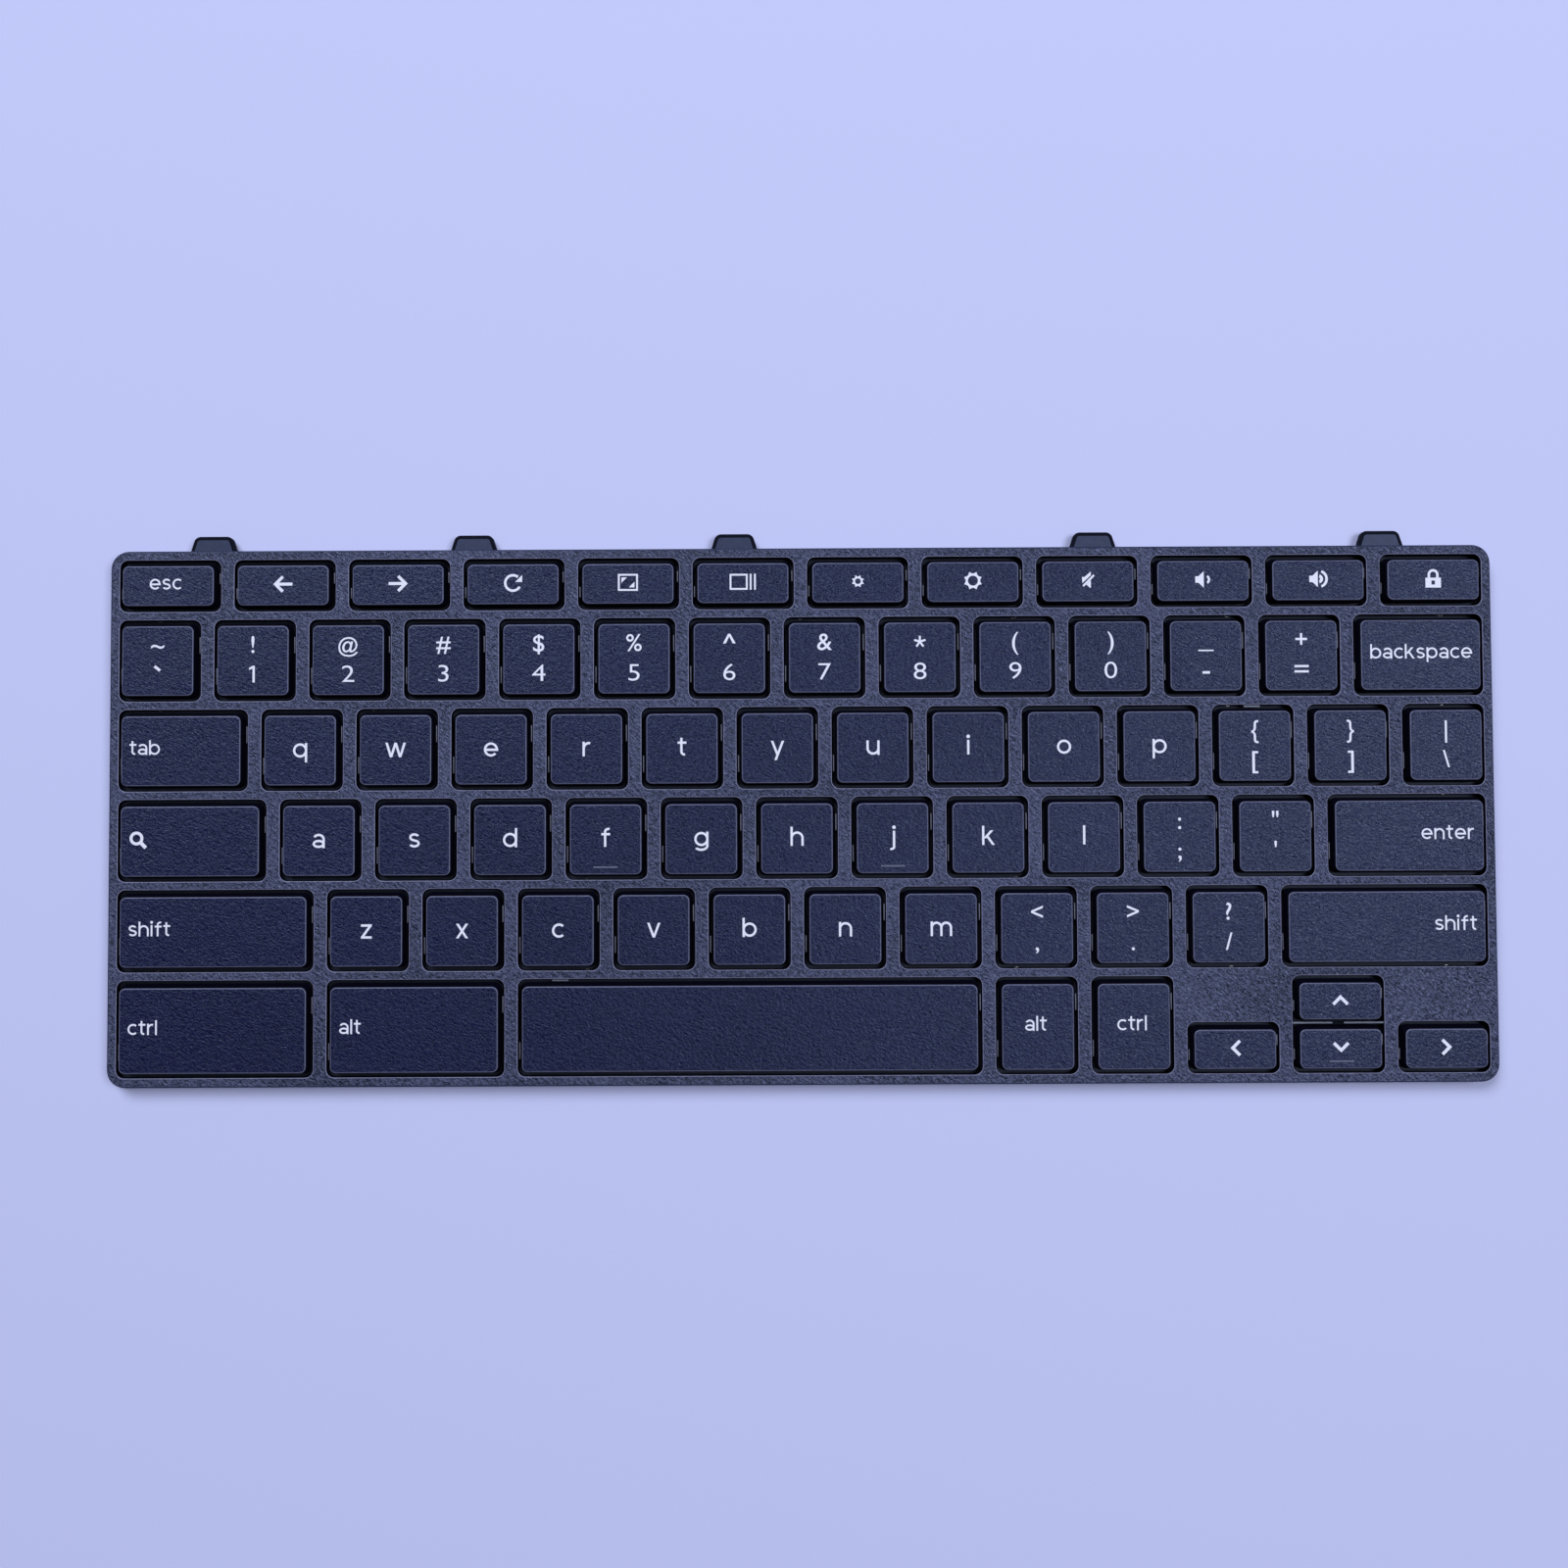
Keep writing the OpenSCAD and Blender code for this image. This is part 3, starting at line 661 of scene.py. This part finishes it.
def makeCap(width, height):
    cap = roundedBlock("capMaster", (-width / 2, -height / 2, footZ), (width / 2, height / 2, topZ),
                       capShape["corner"], capShape["cornerSteps"])
    startEdit(cap)
    pickFaces(cap, facesUp)
    near, far = capShape["taper"], capShape["farTaper"]
    bpy.ops.transform.resize(value=(1 - 2 * near / width, 1 - (near + far) / height, 1),
                             center_override=(0, height / 2 - far * height / (near + far), topZ))
    bpy.ops.mesh.bevel(offset=capShape["edge"], segments=capShape["edgeSteps"], affect="EDGES")
    pickFaces(cap, lambda c, n: n.z > 0.99)
    bpy.ops.mesh.inset(thickness=capShape["flat"], depth=0)
    pickFaces(cap, facesDown)
    bpy.ops.mesh.inset(thickness=capShape["wall"], depth=0)
    bpy.ops.mesh.extrude_region_move(TRANSFORM_OT_translate={"value": (0, 0, capShape["hollow"])})
    endEdit()
    # grained top, its rounded edge in a painted highlight, its sides in painted shade
    dressFaces(cap, capLooks, lambda c, n: 0 if n.z > 0.98 else 1 if n.z > 0.6 else 2)
    smoothOff(cap)
    return cap


capMasters = {}


def capFor(width, height):
    size = sizeKey(width, height)
    if size not in capMasters:
        capMasters[size] = makeCap(width, height)
    return capMasters[size]


homing = {
    "keys": ("f", "j", "arrow_down"),
    "length": 5 * mm,
    "width": 0.5 * mm,
    "height": 0.2 * mm,
    "sunk": 0.1 * mm,
    "end": 0.225 * mm,            # roundness of its ends
    "edge": 0.12 * mm,
    "up": 1.8 * mm,               # from the keycap's near side
}
for name, (centre, width, height) in movingKeys.items():
    cap = copyTo(capFor(width, height), "keycap_" + name, (centre.x, centre.y, 0))
    if name in homing["keys"]:
        y = centre.y - height / 2 + homing["up"]
        bar = roundedBlock(
            "homingBar",
            (centre.x - homing["length"] / 2, y - homing["width"] / 2, topZ - homing["sunk"]),
            (centre.x + homing["length"] / 2, y + homing["width"] / 2, topZ + homing["height"]),
            homing["end"], 4)
        startEdit(bar)
        pickFaces(bar, facesUp)
        bpy.ops.mesh.bevel(offset=homing["edge"], segments=3, affect="EDGES")
        endEdit()
        # the bar's top in a painted highlight, its sides in painted shade
        dressFaces(bar, capLooks, lambda c, n: 1 if facesUp(c, n) else 2)
        cap = joinUp([cap, bar], "keycap_" + name)
    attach(cap, "key_" + name)
    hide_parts("key_" + name)

upperCaps = [copyTo(capFor(width, height), "upperCap", (centre.x, centre.y, 0))
             for centre, width, height in fixedKeys.values()]
upperKeycaps = joinUp(upperCaps, "upperRowKeycaps")
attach(upperKeycaps, "base")
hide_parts("upper_row_keycaps")
discard(*capMasters.values())
print("keycaps made:", len(movingKeys) + len(fixedKeys))

# the scissor and the rubber dome under each key; a moving key's pair gets a mesh of its own

spring = {
    "travel": 1.5 * mm,
    "keytop": 0.85 * mm,
    "free": 0.15 * mm,            # gap round what moves
    "hook": 0.4 * mm,
    "pin": 0.8 * mm,
    "stub": 0.45 * mm,
    "outerReach": 4.1 * mm,
    "innerReach": 3.1 * mm,
    "pinOut": 0.7 * mm,           # how far a pin stands out of the outer arm
    "stubSunk": (0.1 * mm, 0.2 * mm),    # ends of the crossing pin, inside the inner arm and short of the outer face
    "domeRim": 0.12 * mm,
    "domeEdge": 0.2 * mm,
    "domeShares": (0.92, 0.85),   # how a dome narrows to its top and over its edge
    "slack": 0.97,                # a pressed pair ends this close under the keytop
    "lowKey": 11.4 * mm,          # keys under this height have the narrow arms, turned a quarter
    "tall": {"half": 4.7 * mm, "side": 0.8 * mm, "foot": 2.4 * mm, "waist": 1.6 * mm},
    "low": {"half": 2.5 * mm, "side": 0.55 * mm, "foot": 1.9 * mm, "waist": 1.05 * mm},
}
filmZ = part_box("membrane")[1].z
lowPin = filmZ + spring["free"] + spring["pin"] / 2
highPin = footZ + spring["hook"] + spring["free"] + spring["pin"] / 2
midZ = (lowPin + highPin) / 2
capUnder = topZ - spring["keytop"]


def rod(x0, x1, reach, diameter, tilt):
    # a round bar along x, on an arm that leans by tilt round the crossing
    bpy.ops.object.select_all(action="DESELECT")
    bpy.ops.mesh.primitive_cylinder_add(
        vertices=16, radius=diameter / 2, depth=x1 - x0, rotation=(0, math.radians(90), 0),
        location=((x0 + x1) / 2, reach * math.cos(tilt), midZ + reach * math.sin(tilt)))
    bpy.ops.object.transform_apply()
    return bpy.context.object


def armSide(x, side, reach, tilt):
    bpy.ops.object.select_all(action="DESELECT")
    bpy.ops.mesh.primitive_cube_add(size=1, location=(x, 0, midZ), rotation=(tilt, 0, 0),
                                    scale=(side, 2 * reach, 0.8 * spring["pin"]))
    bpy.ops.object.transform_apply()
    return bpy.context.object


def makeArms(kind):
    half, side, pin = spring[kind]["half"], spring[kind]["side"], spring["pin"]
    reach = spring["outerReach"]
    tilt = -math.asin((highPin - lowPin) / 2 / reach)
    inner = spring["innerReach"]
    innerTilt = math.asin((highPin - lowPin) / 2 / inner)
    within = half - side - spring["free"]
    sunk, short = spring["stubSunk"]
    parts = [rod(-half, half, reach, pin, tilt)]
    for way in (-1, 1):
        x = way * (half - side / 2)
        parts += [armSide(x, side, reach, tilt), rod(x - side / 2, x + side / 2, 0, 1.5 * pin, tilt)]
        parts.append(rod(*sorted((way * (half - side), way * (half + spring["pinOut"]))), -reach, pin, tilt))
        parts += [armSide(way * (within - side / 2), side, inner, innerTilt),
                  rod(-within, within, way * inner, pin, innerTilt),
                  rod(*sorted((way * (within - sunk), way * (half - short))), 0, spring["stub"], innerTilt)]
    arms = joinUp(parts, kind + "Arms")
    if kind == "low":
        bpy.ops.transform.rotate(value=math.radians(90), orient_axis="Z", center_override=(0, 0, 0))
        bpy.ops.object.transform_apply()
    dressFaces(arms, ("armDarkPlastic",), lambda c, n: 0)
    smoothOff(arms)
    return arms


def makeDome(kind):
    # a foot ring, a cone that gives way and a stiff top under the keytop
    foot, waist = spring[kind]["foot"], spring[kind]["waist"]
    rim, edge = spring["domeRim"], spring["domeEdge"]
    knee, top = (midZ - filmZ) / 2, capUnder - spring["free"] - filmZ
    bpy.ops.object.select_all(action="DESELECT")
    bpy.ops.mesh.primitive_cylinder_add(vertices=24, radius=foot + edge, depth=rim, location=(0, 0, filmZ + rim / 2))
    dome = rename(bpy.context.object, kind + "Dome")
    bpy.ops.object.transform_apply()
    startEdit(dome)
    pickFaces(dome, facesUp)
    bpy.ops.mesh.inset(thickness=edge, depth=0)
    for rise, share in zip((knee - rim, top - knee - edge, edge), (waist / foot, *spring["domeShares"])):
        bpy.ops.mesh.extrude_region_move(TRANSFORM_OT_translate={"value": (0, 0, rise)})
        bpy.ops.transform.resize(value=(share, share, 1), center_override=(0, 0, 0))
    endEdit()
    dressFaces(dome, ("domeDarkRubber",), lambda c, n: 0)
    smoothOff(dome)
    return dome


springParts = {"arms": (makeArms, "scissor_arms", "arm_plastic"), "dome": (makeDome, "rubber_domes", "dome_rubber")}
masters = {(kind, part): springParts[part][0](kind) for kind in ("tall", "low") for part in springParts}
fixedParts = {part: [] for part in springParts}


def settle(piece, part):
    node, finish = springParts[part][1:]
    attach(piece, "base")
    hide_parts(node)


for name, (centre, width, height) in {**movingKeys, **fixedKeys}.items():
    kind = "low" if height < spring["lowKey"] else "tall"
    for part in springParts:
        piece = copyTo(masters[kind, part], part + "_" + name, (centre.x, centre.y, 0))
        if name in movingKeys:
            settle(piece, part)
            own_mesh(piece)
        else:
            fixedParts[part].append(piece)
for part, pieces in fixedParts.items():
    settle(joinUp(pieces, "upperRow" + part.capitalize()), part)
discard(*masters.values())
print("scissors and domes made")

# the legends

ink = {
    "thick": 0.03 * mm,
    "lift": 0.002 * mm,           # each part of a sign lies this much over the last
    "bold": 0.02 * mm,            # added at each side of a sign's strokes
    "sign": 4.85 * mm,
    "digitBold": -0.03 * mm,
    "wideSigns": "234567890=-_^",
    "widen": 1.22,                # these are drawn wider than the font's
    "atSize": 0.86,
    "merge": 0.002 * mm,
    "stroke": 0.455,              # width of a letter's lines, in millimetres, as plain numbers are here
    "dot": 0.36,
    "space": 0.42,
    "word": 0.77,                 # a word's letters next to a letter key's, a share
    "letterLine": -1.6,           # baselines, from the middle of the key
    "upperLine": 1.4 * mm,
    "lowerLine": -4.55 * mm,
    "wordLine": -0.9,
}


def inkText(text, line):
    bpy.ops.object.select_all(action="DESELECT")
    bpy.ops.object.text_add()
    piece = bpy.context.object
    piece.data.body = text
    piece.data.size = ink["sign"] * (ink["atSize"] if text == "@" else 1)
    piece.data.resolution_u = 4
    piece.data.extrude = ink["thick"] / 2
    piece.data.offset = ink["digitBold"] if text.isdigit() else ink["bold"]
    bpy.ops.object.convert(target="MESH")
    piece = bpy.context.object
    xs = [corner.co.x for corner in piece.data.vertices]
    bpy.ops.transform.translate(value=(-(min(xs) + max(xs)) / 2, line, ink["thick"] * 0.4))
    if text in ink["wideSigns"]:
        bpy.ops.transform.resize(value=(ink["widen"], 1, 1), center_override=(0, 0, 0))
    bpy.ops.object.transform_apply()
    return piece


def inkPatch(points):
    # a flat shape with these corners, in millimetres from the middle of the key
    bpy.ops.object.select_all(action="DESELECT")
    bpy.ops.mesh.primitive_circle_add(vertices=len(points), radius=mm, fill_type="NGON")
    piece = bpy.context.object
    for corner, (x, y) in zip(piece.data.vertices, points):
        corner.co = (x * mm, y * mm, -0.1 * ink["thick"])
    startEdit(piece)
    bpy.ops.mesh.select_all(action="SELECT")
    bpy.ops.mesh.extrude_region_move(TRANSFORM_OT_translate={"value": (0, 0, ink["thick"])})
    bpy.ops.mesh.select_all(action="SELECT")
    bpy.ops.mesh.normals_make_consistent(inside=False)
    endEdit()
    return piece


# letters as strokes, 2.9 mm tall without their tails: a line (x, y, x, y), an arc (middle, radii, start, sweep), a dot
bowl = (1.45, 1.45, 1.18, 1.18, 0, 360)
arch = (1.35, 1.58, 1.08, 1.05, 180, -180)
letters = {
    "a": [(2.2, 0, 2.2, 1.8), (1.22, 1.75, 0.98, 0.88, 0, 150), (1.2, 0.85, 0.95, 0.58, 0, 360)],
    "b": [(0.27, 0, 0.27, 3.8), bowl],
    "c": [(1.45, 1.45, 1.18, 1.18, 48, 264)],
    "d": [(2.63, 0, 2.63, 3.8), bowl],
    "e": [(1.45, 1.45, 1.18, 1.18, 0, 318), (0.3, 1.4, 2.9, 1.4)],
    "f": [(0.8, 0, 0.8, 3.0), (1.5, 2.95, 0.7, 0.6, 180, -105), (0.05, 2.5, 1.8, 2.5)],
    "g": [(2.63, 0.1, 2.63, 2.9), bowl, (1.4, 0.12, 1.23, 0.8, 0, -145)],
    "h": [(0.27, 0, 0.27, 3.8), arch, (2.43, 0, 2.43, 1.6)],
    "i": [(0.3, 0, 0.3, 2.9), (0.3, 3.6)],
    "j": [(0.9, -0.3, 0.9, 2.9), (0.25, -0.3, 0.65, 0.42, 0, -100), (0.9, 3.6)],
    "k": [(0.27, 0, 0.27, 3.8), (0.55, 1.3, 2.0, 2.9), (1.1, 1.7, 2.3, 0)],
    "l": [(0.27, 0, 0.27, 3.8)],
    "m": [(0.27, 0, 0.27, 2.9), (1.22, 1.7, 0.95, 0.93, 180, -180), (2.17, 0, 2.17, 1.7),
          (3.12, 1.7, 0.95, 0.93, 180, -180), (4.07, 0, 4.07, 1.7)],
    "n": [(0.27, 0, 0.27, 2.9), arch, (2.43, 0, 2.43, 1.6)],
    "o": [bowl],
    "p": [(0.27, -0.95, 0.27, 2.9), bowl],
    "q": [(2.63, -0.95, 2.63, 2.9), bowl],
    "r": [(0.27, 0, 0.27, 2.9), (1.3, 1.5, 1.03, 1.13, 180, -105)],
    "s": [(1.1, 2.06, 0.8, 0.57, 25, 245), (1.1, 0.84, 0.85, 0.57, 90, -245)],
    "t": [(0.8, 0.8, 0.8, 3.6), (1.42, 0.85, 0.62, 0.58, 180, 100), (0.05, 2.63, 1.8, 2.63)],
    "u": [(0.27, 1.3, 0.27, 2.9), (1.35, 1.32, 1.08, 1.05, 180, 180), (2.43, 0, 2.43, 2.9)],
    "v": [(0.3, 2.9, 1.38, 0), (2.46, 2.9, 1.38, 0)],
    "w": [(0.3, 2.9, 1.2, 0), (2.1, 2.9, 1.2, 0), (2.1, 2.9, 3.0, 0), (3.9, 2.9, 3.0, 0)],
    "x": [(0.3, 0, 2.2, 2.9), (2.2, 0, 0.3, 2.9)],
    "y": [(0.3, 2.9, 1.38, 0.1), (2.46, 2.9, 0.98, -0.95)],
    "z": [(0.1, 2.63, 2.25, 2.63), (0.1, 0.27, 2.25, 0.27), (0.36, 0.3, 1.99, 2.6)],
}


def strokeOutlines(stroke):
    half = ink["stroke"] / 2
    if len(stroke) == 2:
        x, y = stroke
        turns = [math.radians(t) for t in range(0, 360, 24)]
        return [[(x + ink["dot"] * math.cos(t), y + ink["dot"] * math.sin(t)) for t in turns]]
    if len(stroke) == 6:
        x, y, across, tall, start, sweep = stroke
        if abs(sweep) == 360:
            return [outline for turn in (0, 180) for outline in strokeOutlines((x, y, across, tall, turn, 180))]
        steps = [math.radians(start + sweep * s / 20) for s in range(21)]
        return [[(x + (across + side * half) * math.cos(t), y + (tall + side * half) * math.sin(t))
                 for side in (1, -1) for t in steps[::side]]]
    x0, y0, x1, y1 = stroke
    if y0 == y1:
        return [[(x0, y0 - half), (x1, y1 - half), (x1, y1 + half), (x0, y0 + half)]]
    wide = half * math.hypot(x1 - x0, y1 - y0) / abs(y1 - y0)
    return [[(x0 - wide, y0), (x0 + wide, y0), (x1 + wide, y1), (x1 - wide, y1)]]


def inkWord(text, size, x, line, side="middle"):
    # letters side by side, kept to the left, the middle or the right of x
    shapes, width = [], 0
    for letter in text:
        outlines = [outline for stroke in letters[letter] for outline in strokeOutlines(stroke)]
        shapes += [[(px + width, py) for px, py in outline] for outline in outlines]
        width += max(px for outline in outlines for px, py in outline) + ink["space"]
    left = x - size * (width - ink["space"]) * {"left": 0, "middle": 0.5, "right": 1}[side]
    return [inkPatch([(left + px * size, line + py * size) for px, py in shape]) for shape in shapes]


def turned(points, x, y, angle):
    c, s = math.cos(math.radians(angle)), math.sin(math.radians(angle))
    return [(x + px * c - py * s, y + px * s + py * c) for px, py in points]


def inkBar(x, y, length, width, angle=0):
    a, b = length / 2, width / 2
    return inkPatch(turned([(-a, -b), (a, -b), (a, b), (-a, b)], x, y, angle))


def inkArc(x, y, radius, width, start, sweep, steps=16):
    outer = [(radius + width / 2, start + sweep * s / steps) for s in range(steps + 1)]
    inner = [(radius - width / 2, start + sweep * s / steps) for s in range(steps, -1, -1)]
    return inkPatch([(x + r * math.cos(math.radians(t)), y + r * math.sin(math.radians(t))) for r, t in outer + inner])


def inkRing(x, y, radius, width):
    return [inkArc(x, y, radius, width, start, 180) for start in (0, 180)]


def inkFrame(x, y, width, height, line):
    return [inkBar(x, y + side * (height - line) / 2, width, line) for side in (-1, 1)] + [
        inkBar(x + side * (width - line) / 2, y, line, height - 2 * line) for side in (-1, 1)]


def inkChevron(x, y, half, line, angle):
    # a mitred angle pointing along +x before it is turned
    cut, tip = line / math.sqrt(2), half / 2 + line / 4
    points = [(tip, 0), (tip - half, half), (tip - half - cut, half - cut), (tip - 2 * cut, 0),
              (tip - half - cut, cut - half), (tip - half, -half)]
    return inkPatch(turned(points, x, y, angle))


def inkSun(x, y, radius, line, rayOut):
    ray = [(radius, -0.42 * radius), (radius + rayOut, 0), (radius, 0.42 * radius)]
    return inkRing(x, y, radius, line) + [inkPatch(turned(ray, x, y, 45 * s + 22.5)) for s in range(8)]


def inkSpeaker(x, y):
    return inkPatch([(x - 0.85, y - 0.65), (x - 0.2, y - 0.65), (x + 0.85, y - 1.65), (x + 0.85, y + 1.65),
                     (x - 0.2, y + 0.65), (x - 0.85, y + 0.65)])


def inkIcon(name):
    if name in ("back", "forward"):
        way = -1 if name == "back" else 1
        return [inkChevron(way * 0.95, 0.1, 1.7, 0.6, 90 - 90 * way), inkBar(-way * 0.12, 0.1, 3.5, 0.6)]
    if name == "reload":
        return [inkArc(0, 0.1, 1.55, 0.5, 50, 280, 24), inkPatch([(1.85, 1.7), (1.85, 0.3), (0.45, 0.3)])]
    if name == "screen":
        return inkFrame(0, 0.1, 4.0, 3.4, 0.36) + [inkPatch([(-1.3, 1.1), (-1.3, 0.0), (-0.2, 1.1)]),
                                                  inkPatch([(1.3, -0.9), (1.3, 0.2), (0.2, -0.9)])]
    if name == "overview":
        return inkFrame(-0.85, 0.1, 3.6, 3.2, 0.36) + [inkBar(x, 0.1, 0.36, 3.2) for x in (1.55, 2.4)]
    if name == "dim":
        return inkSun(0, 0.1, 0.76, 0.37, 0.56)
    if name == "bright":
        return inkSun(0, 0.1, 1.23, 0.46, 0.66)
    if name == "mute":
        return [inkPatch([(-1.19, 0.72), (-0.7, 0.72), (0.57, 1.81), (0.57, 1.06), (-1.12, -0.5)]),
                inkBar(0.12, 0.0, 3.1, 0.4, 45), inkPatch([(-0.35, -0.78), (0.57, 0.1), (0.57, -1.42), (0.35, -1.42)])]
    if name == "quieter":
        return [inkSpeaker(-0.7, 0.1), inkArc(0.45, 0.1, 0.75, 0.45, -60, 120)]
    if name == "louder":
        return [inkSpeaker(-0.9, 0.1), inkArc(0.1, 0.1, 0.6, 0.6, -75, 150), inkArc(0.1, 0.1, 1.6, 0.5, -70, 140)]
    if name == "lock":
        return inkLock()
    if name == "search":
        return inkRing(-10.55, 0.5, 1.08, 0.58) + [inkBar(-9.3, -0.75, 1.75, 0.72, -45)]
    angle = {"arrow_left": 180, "arrow_right": 0, "arrow_up": 90, "arrow_down": -90}[name]
    return [inkChevron(0, 0.1, 1.65, 0.62, angle)]


def inkLock():
    # body with an open keyhole, under its shackle
    body = [inkBar(0, -0.05, 3.1, 0.55), inkBar(0, -1.45, 3.1, 0.6),
            inkBar(-0.95, -0.75, 1.2, 0.85), inkBar(0.95, -0.75, 1.2, 0.85)]
    shackle = [inkArc(0, 0.85, 0.85, 0.5, 0, 180)] + [inkBar(side * 0.85, 0.53, 0.5, 0.64) for side in (-1, 1)]
    return body + shackle


icons = ("back", "forward", "reload", "screen", "overview", "dim", "bright", "mute", "quieter", "louder", "lock",
         "search", "arrow_left", "arrow_right", "arrow_up", "arrow_down")
words = {
    "esc": ("esc", "middle", -0.51), "tab": ("tab", "left", -10.23), "left_shift": ("shift", "left", -16.75),
    "left_ctrl": ("ctrl", "left", -16.77), "left_alt": ("alt", "left", -14.78), "right_alt": ("alt", "middle", -0.44),
    "right_ctrl": ("ctrl", "middle", -0.45), "backspace": ("backspace", "right", 10.25),
    "enter": ("enter", "right", 12.78), "right_shift": ("shift", "right", 17.77),
}
signs = {
    "grave": "~`", "1": "!1", "2": "@2", "3": "#3", "4": "$4", "5": "%5", "6": "^6", "7": "&7", "8": "*8", "9": "(9",
    "0": ")0", "minus": "_-", "equal": "+=", "left_bracket": "{[", "right_bracket": "}]", "backslash": "|\\",
    "semicolon": ":;", "quote": "\"'", "comma": "<,", "period": ">.", "slash": "?/",
}


def makeLegend(name, centre):
    # the space key has none
    if name in icons:
        parts = inkIcon(name)
    elif name in words:
        text, side, x = words[name]
        parts = inkWord(text, ink["word"], x, ink["wordLine"], side)
    elif name in signs:
        upper, lower = signs[name]
        if upper == "*":
            parts = [inkBar(*turned([(0.58, 0)], 0, 2.95, 90 + 72 * s)[0], 1.2, 0.4, 90 + 72 * s) for s in range(5)]
        else:
            parts = [inkText(upper, ink["upperLine"])]
        if lower == "1":
            parts.append(inkPatch([(-0.75, -2.05), (-0.75, -1.6), (0.0, -1.2), (0.4, -1.2), (0.4, -4.55),
                                   (-0.05, -4.55), (-0.05, -1.75)]))
        elif lower == "`":
            parts.append(inkBar(-0.05, -1.65, 1.4, 0.56, -38))
        else:
            parts.append(inkText(lower, ink["lowerLine"]))
    elif len(name) == 1:
        parts = inkWord(name, 1, 0, ink["letterLine"])
    else:
        return None
    for step, part in enumerate(parts):
        only(part)
        bpy.ops.transform.translate(value=(0, 0, step * ink["lift"]))
        bpy.ops.object.transform_apply()
    legend = joinUp(parts, "legend_" + name)
    bpy.ops.transform.translate(value=(centre.x, centre.y, topZ))
    bpy.ops.object.transform_apply()
    startEdit(legend)
    bpy.ops.mesh.select_all(action="SELECT")
    bpy.ops.mesh.remove_doubles(threshold=ink["merge"])
    bpy.ops.mesh.normals_make_consistent(inside=False)
    endEdit()
    dressFaces(legend, ("legendPaleInk",), lambda c, n: 0)
    return legend


for name, (centre, width, height) in movingKeys.items():
    legend = makeLegend(name, centre)
    if legend:
        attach(legend, "key_" + name)
upperLegends = joinUp([makeLegend(name, centre) for name, (centre, width, height) in fixedKeys.items()],
                      "upperRowLegends")
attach(upperLegends, "base")
print("legends made")

# floor and lights

studio = {
    "floorSize": 4.0,
    "floorZ": -0.02 * mm,         # just under the module, so that the two don't flicker
    "floorColour": (0.494, 0.542, 0.881),
    "worldStrength": 0.08,
    "lamps": {                    # place, size across and along, power
        "topLamp": ((-0.55, 0.95, 1.35), (0.9, 0.9), 21.0),
        "sideLamp": ((0.72, 0.12, 1.4), (0.62, 0.8), 13.0),
    },
}
bpy.ops.object.select_all(action="DESELECT")
bpy.ops.mesh.primitive_plane_add(size=studio["floorSize"], location=(0, 0, studio["floorZ"]))
floor = rename(bpy.context.object, "studioFloor")
bpy.ops.object.transform_apply()
floor.data.materials.append(newLook("floorPaleCard", studio["floorColour"], 0.9, 0.1))

world = bpy.data.worlds.new("studioWorld")
bpy.context.scene.world = world
world.use_nodes = True
world.node_tree.nodes["Background"].inputs["Color"].default_value = (1, 1, 1, 1)
world.node_tree.nodes["Background"].inputs["Strength"].default_value = studio["worldStrength"]

for name, (place, size, power) in studio["lamps"].items():
    place = Vector(place)
    bpy.ops.object.light_add(type="AREA", location=place, rotation=place.to_track_quat("Z", "Y").to_euler())
    lamp = bpy.context.object
    lamp.name = name
    lamp.data.shape = "RECTANGLE"
    lamp.data.size, lamp.data.size_y = size
    lamp.data.energy = power
print("studio lit")
